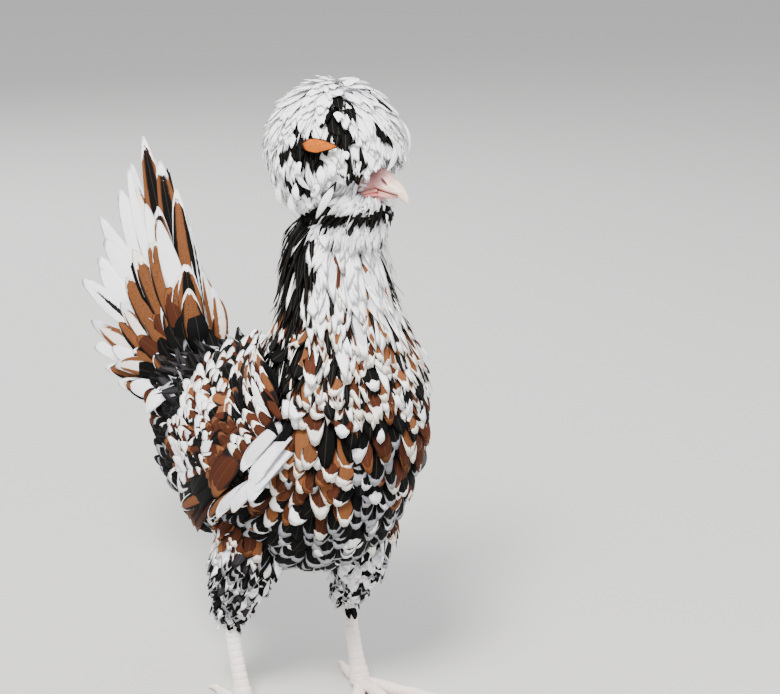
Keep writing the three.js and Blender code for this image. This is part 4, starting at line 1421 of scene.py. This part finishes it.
def tail_coat():
    coat = Coat()
    rows = np.array([one[:5] for one in PLUMES])
    kinds = numbers([one[5] for one in PLUMES])
    n = len(rows)
    for side in (RIGHT, LEFT):
        rise, splay, long, out, width = rows.T
        other = side == LEFT
        uneven = rng.normal(0, 1.6 if other else 0.7, n)
        up = np.radians(rise - 4.0 * other * smoothstep(20, 60, rise) + uneven)
        away = np.radians(splay) * (mix((1.0, 0.35), smoothstep(40, 62, rise)) if other else 1.0)
        level = np.cos(away)
        along = np.stack([side * np.sin(away), np.cos(up) * level, np.sin(up) * level], axis=-1)
        dorsal = np.stack([0 * up, -np.sin(up), np.cos(up)], axis=-1)
        low = np.clip((76 - rise) / 84, 0, 1)
        face = dorsal * mix((1.1, 0.15), np.sqrt(low))[:, None] + rng.normal(0, 0.08, (n, 3))
        face[:, 0] += side * mix((0.4, 1.0), np.sqrt(low))
        full = long * (0.93 if other else 1.0) + rng.normal(0, 3.0 if other else 1.0, n)
        ahead = smoothstep(58, 84, rise)
        beside = side * (out * 0.5 + low * 7)
        root = TAIL_AT + np.stack([beside, -5 * ahead, 3 * ahead - TAIL_SINK * low], axis=-1)
        short = smoothstep(110, 40, long)[:, None]
        through = root + along * full[:, None] / 2 + face * (out * 0.5 + 2.0)[:, None]
        bend = rng.normal(0, 2.0, n) + 0.05 * full * smoothstep(35, 62, rise)
        through = through - dorsal * bend[:, None]
        tip = root + along * full[:, None] + face * (0.6 * out[:, None] + 1.0 - 6.0 * short)
        shown = np.roll(kinds, 5) if other else kinds
        tones, marks = dress(shown, 0.06)
        patch = np.stack([0.5 + 0.2 * side + 0 * low, 0.1 + 0.8 * low], axis=-1)
        bows = Bows(root, through, tip, face, patch)
        lay_bows(coat, bows, width + rng.normal(0, 0.8, n), tones, marks, "tail")
    return coat


# Bill, eyes, lids
UPPER_BILL = [  # along, up, half height, half width
    (20, 3.4, 5.6, 7.4),
    (25.2, 4.0, 6.2, 7.3),
    (30.5, 1.6, 5.2, 6.0),
    (35.6, -1.0, 4.0, 4.4),
    (39.6, -3.8, 2.5, 2.6),
    (42, -6.6, 0.7, 0.8),
]
LOWER_BILL = [
    (18, -2.6, 3.7, 6.9),
    (24, -2.6, 3.4, 6.3),
    (30, -2.8, 2.7, 4.8),
    (34.5, -3.2, 1.7, 2.6),
    (36.3, -3.6, 0.6, 0.9),
]
MOUTH = np.array([(18, 1.2), (21.6, 0.9), (27.8, -0.2), (33, -1.2), (37, -1.9)])  # along, up
HOOK = 37.0  # the upper bill hooks down ahead of this
NOSTRIL = {"along": 29.4, "up": 4.9, "long": 2.7, "wide": 0.75, "slope": math.radians(-50)}


def bill(rows, upper):
    tube = head_tube(rows)
    around, count = 120, 150
    rings = tube_rings(tube, count, around)
    along, left, up = in_head(rings)
    line = np.interp(along, MOUTH[:, 0], MOUTH[:, 1])
    centre = tube.centre(np.linspace(0, 1, count))[:, None]
    out = unit(rings - centre)
    if upper:
        c, s = math.cos(NOSTRIL["slope"]), math.sin(NOSTRIL["slope"])
        run, off = along - NOSTRIL["along"], up - NOSTRIL["up"]
        lengthwise, across = run * c + off * s, -run * s + off * c
        beside = smoothstep(1.5, 3.0, np.abs(left))
        from_pit = np.hypot(lengthwise / NOSTRIL["long"], across / NOSTRIL["wide"])
        pit = (1 - smoothstep(0.6, 1.25, from_pit)) * beside
        flap = np.exp(-((lengthwise / 3.0) ** 2) - ((across - 1.6) / 1.0) ** 2) * beside
        rim = np.exp(-((lengthwise / 3.4) ** 2) - ((across + 1.6) / 0.9) ** 2) * beside
        knob = np.exp(-(((along - 24.5) / 3.0) ** 2)) * smoothstep(3, 9, up)
        edge = np.exp(-(((up - line - 1.2) / 0.7) ** 2)) * (along < 40)
        ridge = np.exp(-((left / 1.6) ** 2)) * smoothstep(0, 4, up - line) * smoothstep(27, 31, along)
        ripple = 0.05 * np.sin(along * 5.2 + 0.7 * up) * (along > 28)
        saddle = np.exp(-(((along - 30.5) / 3.0) ** 2)) * smoothstep(1, 6, up - line)
        move = -2.0 * pit + 0.65 * flap + 0.35 * rim + 0.5 * knob + 0.25 * edge + 0.35 * ridge
        move = move - 1.5 * saddle + ripple
        rings = rings + out * move[..., None]
        ahead, _, high = in_head(rings)
        floor_at = np.where(ahead < HOOK + 0.8, line + 0.22, -99.0)
        rings[..., 2] += np.maximum(high, floor_at) - high
        tone = mix((rgb(204, 142, 138), rgb(218, 188, 170)), smoothstep(24, 38, along)[..., None])
        tone = blend(tone, rgb(208, 140, 142), 0.5 * np.exp(-(((along - 24) / 4.5) ** 2))[..., None])
        # painted shade: the dented nostril is painted dark for the shade deep inside the opening
        tone = blend(tone, rgb(64, 24, 24), 0.9 * pit[..., None])
        lip = (1 - smoothstep(0.3, 1.8, up - line)) * (along < HOOK)
        tone = blend(tone, rgb(168, 84, 78), 0.45 * lip[..., None])
        tone = blend(tone, rgb(222, 202, 178), 0.6 * smoothstep(37, 42, along)[..., None])
    else:
        fold = 0.22 * np.sin((up - line) * 3.4) * smoothstep(-5.5, -4.0, up)
        rings = rings + out * fold[..., None]
        high = in_head(rings)[2]
        rings[..., 2] += np.minimum(high, line - 0.22) - high
        tone = mix((rgb(190, 112, 106), rgb(206, 154, 140)), smoothstep(22, 35, along)[..., None])
        tone = blend(tone, rgb(150, 56, 56), 0.6 * (1 - smoothstep(0.2, 1.2, line - up))[..., None])
    return rings, tone


GAPE = [  # corner of the mouth: along, left, up of the upper lip; the lower one lies beneath
    (26.0, 6.4, -0.4),
    (22.0, 8.6, -1.2),
    (17.0, 11.3, -3.2),
    (12.5, 13.2, -6.0),
]


def gape_parts(side):
    """Two soft lips that run from the bill back along the cheek."""
    parts = []
    for drop, deep, tone in ((0.0, 1.3, rgb(196, 132, 122)), (-2.2, 1.25, rgb(196, 118, 112))):
        drops = [drop * (1 - 0.5 * k / 3) for k in range(len(GAPE))]
        middles = [head_point(a, side * left, up + by) for (a, left, up), by in zip(GAPE, drops)]
        sizes = [(deep * 0.7, deep * 0.9), (deep, deep * 1.1), (deep * 0.95, deep), (deep * 0.4, deep * 0.4)]
        rings = tube_rings(Tube(middles, sizes, HEAD_LEFT), 60, 24)
        high = np.sin(np.linspace(0, 2 * math.pi, 24, endpoint=False))
        inner = smoothstep(0.1, 0.7, high * (1 if drop else -1))
        shade = inner[None, :, None] * 0.6
        parts.append(padded(rings, blend(tone, rgb(176, 62, 60), shade) + 0 * rings))
    return parts


def padded(rings, tones):
    """Vertices, faces and tones of closed rings."""
    co, faces = closed_rings(rings)
    tones = np.concatenate([tones[:1], tones, tones[-1:]]).reshape(-1, 3)
    return co, faces, tones


def piece_of(name, parts, material):
    return paint(new_mesh(name, *joined(parts), material), np.concatenate([part[2] for part in parts]))


def eye_parts(side):
    out = unit(HEAD_LEFT * side + AHEAD * 0.25)
    across = unit(np.cross(UP, out))
    high = np.cross(out, across)
    rows, around = 60, 72
    a = np.linspace(0.02, math.pi - 0.02, rows)[:, None]
    b = np.linspace(0, 2 * math.pi, around, endpoint=False)[None]
    r = (EYE["radius"] * (1 + 0.03 * np.exp(-((a / 0.45) ** 2))))[..., None]
    middle = head_point(EYE["along"], side * EYE["out"], EYE["up"])
    x, y, z = np.sin(a) * np.cos(b), np.sin(a) * np.sin(b), np.cos(a) + 0 * b
    at = middle + r * (across * x[..., None] + high * y[..., None] + out * z[..., None])
    pupil = 1 - smoothstep(0.24, 0.29, a)
    iris = 1 - smoothstep(0.66, 0.74, a)
    spokes = 0.85 + 0.15 * np.sin(b * 34 + 3 * np.sin(a * 20))
    tone = rgb(176, 92, 34) * (spokes * mix((0.7, 1.1), smoothstep(0.3, 0.62, a)))[..., None]
    tone = blend(rgb(60, 30, 22), tone, iris[..., None])
    tone = blend(tone, rgb(8, 6, 6), pupil[..., None])
    return padded(at, np.broadcast_to(tone, at.shape)), (middle, out, across, high)


def lid_parts(place):
    """Two rolled lids round the eye, with fine folds."""
    middle, out, across, high = place
    rows, around = 120, 24
    a = np.linspace(0, 2 * math.pi, rows, endpoint=False)
    b = np.linspace(0, 2 * math.pi, around, endpoint=False)
    radius = 5.0 + 0.12 * np.sin(a * 11)
    tube = 1.25 + 0.14 * np.sin(a * 17 + 1) + 0.1 * np.cos(2 * a)
    wide, tall = np.cos(a) * radius * 1.12, np.sin(a) * radius * 0.92
    centre = middle + out * 2.7 + across * wide[:, None] + high * tall[:, None]
    away = across * np.cos(a)[:, None] + high * np.sin(a)[:, None]
    wrinkle = 1 + 0.06 * np.cos(b * 5)[None]
    r = (tube[:, None] * wrinkle)[..., None]
    at = centre[:, None] + r * (away[:, None] * np.cos(b)[None, :, None] + out * np.sin(b)[None, :, None])
    i, j = np.meshgrid(np.arange(rows), np.arange(around), indexing="ij")
    row, next_row, next_one = i * around, (i + 1) % rows * around, (j + 1) % around
    faces = np.stack([row + j, row + next_one, next_row + next_one, next_row + j], axis=-1).reshape(-1, 4)
    co = at.reshape(-1, 3)
    first = co[faces]
    n = np.cross(first[:, 1] - first[:, 0], first[:, 2] - first[:, 0])
    spread = np.repeat(centre, around, axis=0)
    if np.sum(n * (first[:, 0] - spread[faces[:, 0]])) < 0:
        faces = faces[:, ::-1]
    # painted shade: the lid tone is lighter on the ridges of the folds and darker in the grooves between
    # them, in step with the wrinkle
    fold = 0.5 + 0.5 * np.cos(b * 5)[None, :, None]
    tone = rgb(214, 146, 140) * (0.75 + 0.3 * fold) + 0 * at
    return co, faces, np.clip(tone, 0, 1).reshape(-1, 3)


# Legs
def toe_line(side, turn, length):
    """The points of a toe by the share of its length and the height."""
    heading = math.radians(turn) * side
    way = np.array([math.sin(heading), -math.cos(heading), 0])
    start = np.array([STANCE[side][0], STANCE[side][1] - 1.0, 0])
    return lambda share, lift: start + way * (TOE_START + length * share) + UP * lift


def tube_of(rows, side):
    """A tube through rows of a middle, half a height and half a width."""
    return Tube([row[0] for row in rows], [row[1:] for row in rows], side)


def scaled(rings, step, depth, front):
    """Rows of scutes: shallow grooves across, with the upper edge of each scute standing out."""
    centre = rings.mean(axis=1, keepdims=True)
    run = np.concatenate([[0], np.cumsum(np.linalg.norm(np.diff(centre[:, 0], axis=0), axis=1))])
    phase = (run / step) % 1.0
    groove = np.exp(-((np.minimum(phase, 1 - phase) / 0.09) ** 2))
    swell = np.sin(phase * math.pi) ** 0.6
    out = unit(rings - centre)
    facing = smoothstep(-0.15, 0.35, out @ front)
    move = facing * ((swell - 0.5) * 0.35 * depth - groove * depth)[:, None]
    around = rings.shape[1]
    round_it = np.sin(np.arange(around) * 2 * math.pi * 9 / around)
    net = 0.16 * depth * np.sin(run * 4.2)[:, None] * round_it[None]
    return rings + out * (move + (1 - facing) * net)[..., None]


def leg(side, word):
    parts = [scaled(tube_rings(leg_tube(side, SHANK), 260, 64), 4.4, 0.55, np.array([0, -1.0, 0.1]))]
    claws = []
    for _, turn, length, r in TOES:
        at, low = toe_line(side, turn, length), r * TOE_SINK
        toe = [
            (at(-6 / length, low + 1.2), r * 0.9, r * 0.9),
            (at(0.18, low + 1.0), r * 0.92, r * 0.92),
            (at(0.36, low + 0.1), r, r * 1.06),
            (at(0.58, low), r * 0.86, r * 0.88),
            (at(0.78, low), r * 0.9, r * 0.95),
            (at(1.0, low), r * 0.62, r * 0.66),
        ]
        across = np.cross(UP, unit(toe[-1][0] - toe[0][0]))
        parts.append(scaled(tube_rings(tube_of(toe, across), int(length * 6), 48), 2.9, 0.5, UP))
        step, c = CLAW["length"] / length, CLAW["radius"]
        nail = [
            (at(1 - step * 0.25, low + 0.2), c, c * 0.8),
            (at(1 + step * 0.2, low + 0.9), c * 0.9, c * 0.7),
            (at(1 + step * 0.6, low + 0.3), c * 0.6, c * 0.45),
            (at(1 + step, 0.9), 0.4, 0.35),
        ]
        claw = tube_rings(tube_of(nail, across), 50, 36)
        claw[..., 2] = np.maximum(claw[..., 2], 0.05)
        t = np.linspace(0, 1, 50)[:, None, None] + 0 * claw
        claws.append(padded(claw, mix((rgb(226, 206, 186), rgb(240, 232, 216)), t)))
    obj, at = melt(f"leg_{word}", parts, scale_material, 0.00045, 2)
    at[:, 2] = np.maximum(at[:, 2], 0.0)
    obj.data.vertices.foreach_set("co", at.ravel())
    obj.data.update()
    height = at[:, 2] * 1000
    tone = mix((rgb(224, 208, 200), rgb(232, 224, 220)), smoothstep(5, 40, height)[:, None])
    tone = blend(tone, rgb(206, 172, 156), 0.35 * (1 - smoothstep(0.3, 2.0, height))[:, None])
    return paint(obj, tone), piece_of(f"claws_{word}", claws, claw_material)


# All pieces
def settle(obj, *nodes, slot):
    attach(obj, "root")
    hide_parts(*nodes)


def settle_coat(coat, name, node, slot):
    for obj in coat.mesh(name, plumage):
        settle(obj, node, slot=slot)


settle(skin(), "torso", "neck", "head", "thigh_left", "thigh_right", slot="face_skin")
settle_coat(body_coat(), "coat_body", "torso", "body_plumage")
settle_coat(neck_coat(), "coat_neck", "neck", "neck_plumage")
settle_coat(face_coat(), "coat_face", "head", "neck_plumage")
settle_coat(beard_coat(), "beard", "head", "neck_plumage")
settle_coat(crest_coat(), "crest_plumes", "crest", "crest_plumage")
settle_coat(tail_coat(), "tail_plumes", "tail", "tail_plumage")
settle_coat(tail_fluff(), "tail_fluff", "tail", "tail_plumage")
for side, word in SIDES:
    settle_coat(thigh_coat(side), f"coat_thigh_{word}", f"thigh_{word}", "body_plumage")
    settle_coat(wing_coat(side), f"wing_plumes_{word}", f"wing_{word}", "wing_plumage")
    ball, place = eye_parts(side)
    settle(piece_of(f"eyeball_{word}", [ball], eye_material), f"eye_{word}", slot="eye")
    settle(piece_of(f"lids_{word}", [lid_parts(place)], skin_material), "head", slot="face_skin")
    settle(piece_of(f"gape_{word}", gape_parts(side), skin_material), "head", slot="face_skin")
    limb, nails = leg(side, word)
    settle(limb, f"shank_{word}", f"foot_{word}", slot="leg_scale")
    settle(nails, *[f"claw_{toe}_{word}" for toe, *_ in TOES], slot="claw_horn")
for name, rows, upper in (("upper", UPPER_BILL, True), ("lower", LOWER_BILL, False)):
    horn = piece_of(f"bill_{name}_horn", [padded(*bill(rows, upper))], horn_material)
    settle(horn, f"bill_{name}", slot="bill_horn")


# Floor, lights, camera
def pale_material(name, colour):
    s = Nodes(name)
    s.shader.inputs["Base Color"].default_value = (*colour, 1)
    return s.set(Roughness=0.9, Specular_IOR_Level=0.1)


FLOOR_REACH = 4000
floor = new_mesh(
    "floor",
    np.array([(-1, -1, 0), (1, -1, 0), (1, 1, 0), (-1, 1, 0)]) * FLOOR_REACH + ORIGIN,
    np.array([(0, 1, 2, 3)]),
    pale_material("floor", rgb(184, 183, 181)),
    smooth=False,
)

world = bpy.data.worlds.new("studio")
bpy.context.scene.world = world
world.use_nodes = True
sky = world.node_tree.nodes["Background"].inputs
sky["Color"].default_value = (0.90, 0.91, 0.93, 1)
sky["Strength"].default_value = 1.15

CAMERA_AT = np.array([-597.7, -1035.2, 565.5])
LOOK = np.array([0.0, 0.0, 200.0])
SHIFT_RIGHT, SHIFT_UP = 53.3, 22.5  # how far the view's middle lies from there
LENS, FILM_WIDTH = 97.38, 36.0
ahead = unit(LOOK - CAMERA_AT)
right = unit(np.cross(ahead, UP))
above = np.cross(right, ahead)
aim = LOOK + right * SHIFT_RIGHT + above * SHIFT_UP


def towards(obj, at, target):
    way = Vector(tuple((target - at) / 1000))
    obj.location = tuple((at - ORIGIN) / 1000)
    obj.rotation_euler = way.to_track_quat("-Z", "Y").to_euler()


def lamp(name, at, size, power, colour=(1, 1, 1)):
    data = bpy.data.lights.new(name, "AREA")
    data.shape = "DISK"
    data.size = size
    data.energy = power
    data.color = colour
    obj = bpy.data.objects.new(name, data)
    bpy.context.scene.collection.objects.link(obj)
    towards(obj, np.array(at, float), np.array([0.0, 0.0, 180.0]))


lamp("key", (-900, -900, 1700), 0.6, 104, (1.0, 0.985, 0.96))
lamp("fill", (1500, -900, 800), 1.2, 20)
lamp("back", (300, 1600, 1300), 0.9, 36)

camera_data = bpy.data.cameras.new("camera")
camera_data.lens = LENS
camera_data.sensor_width = FILM_WIDTH
camera_data.clip_end = 50
camera = bpy.data.objects.new("camera", camera_data)
bpy.context.scene.collection.objects.link(camera)
towards(camera, CAMERA_AT, aim)
bpy.context.scene.camera = camera
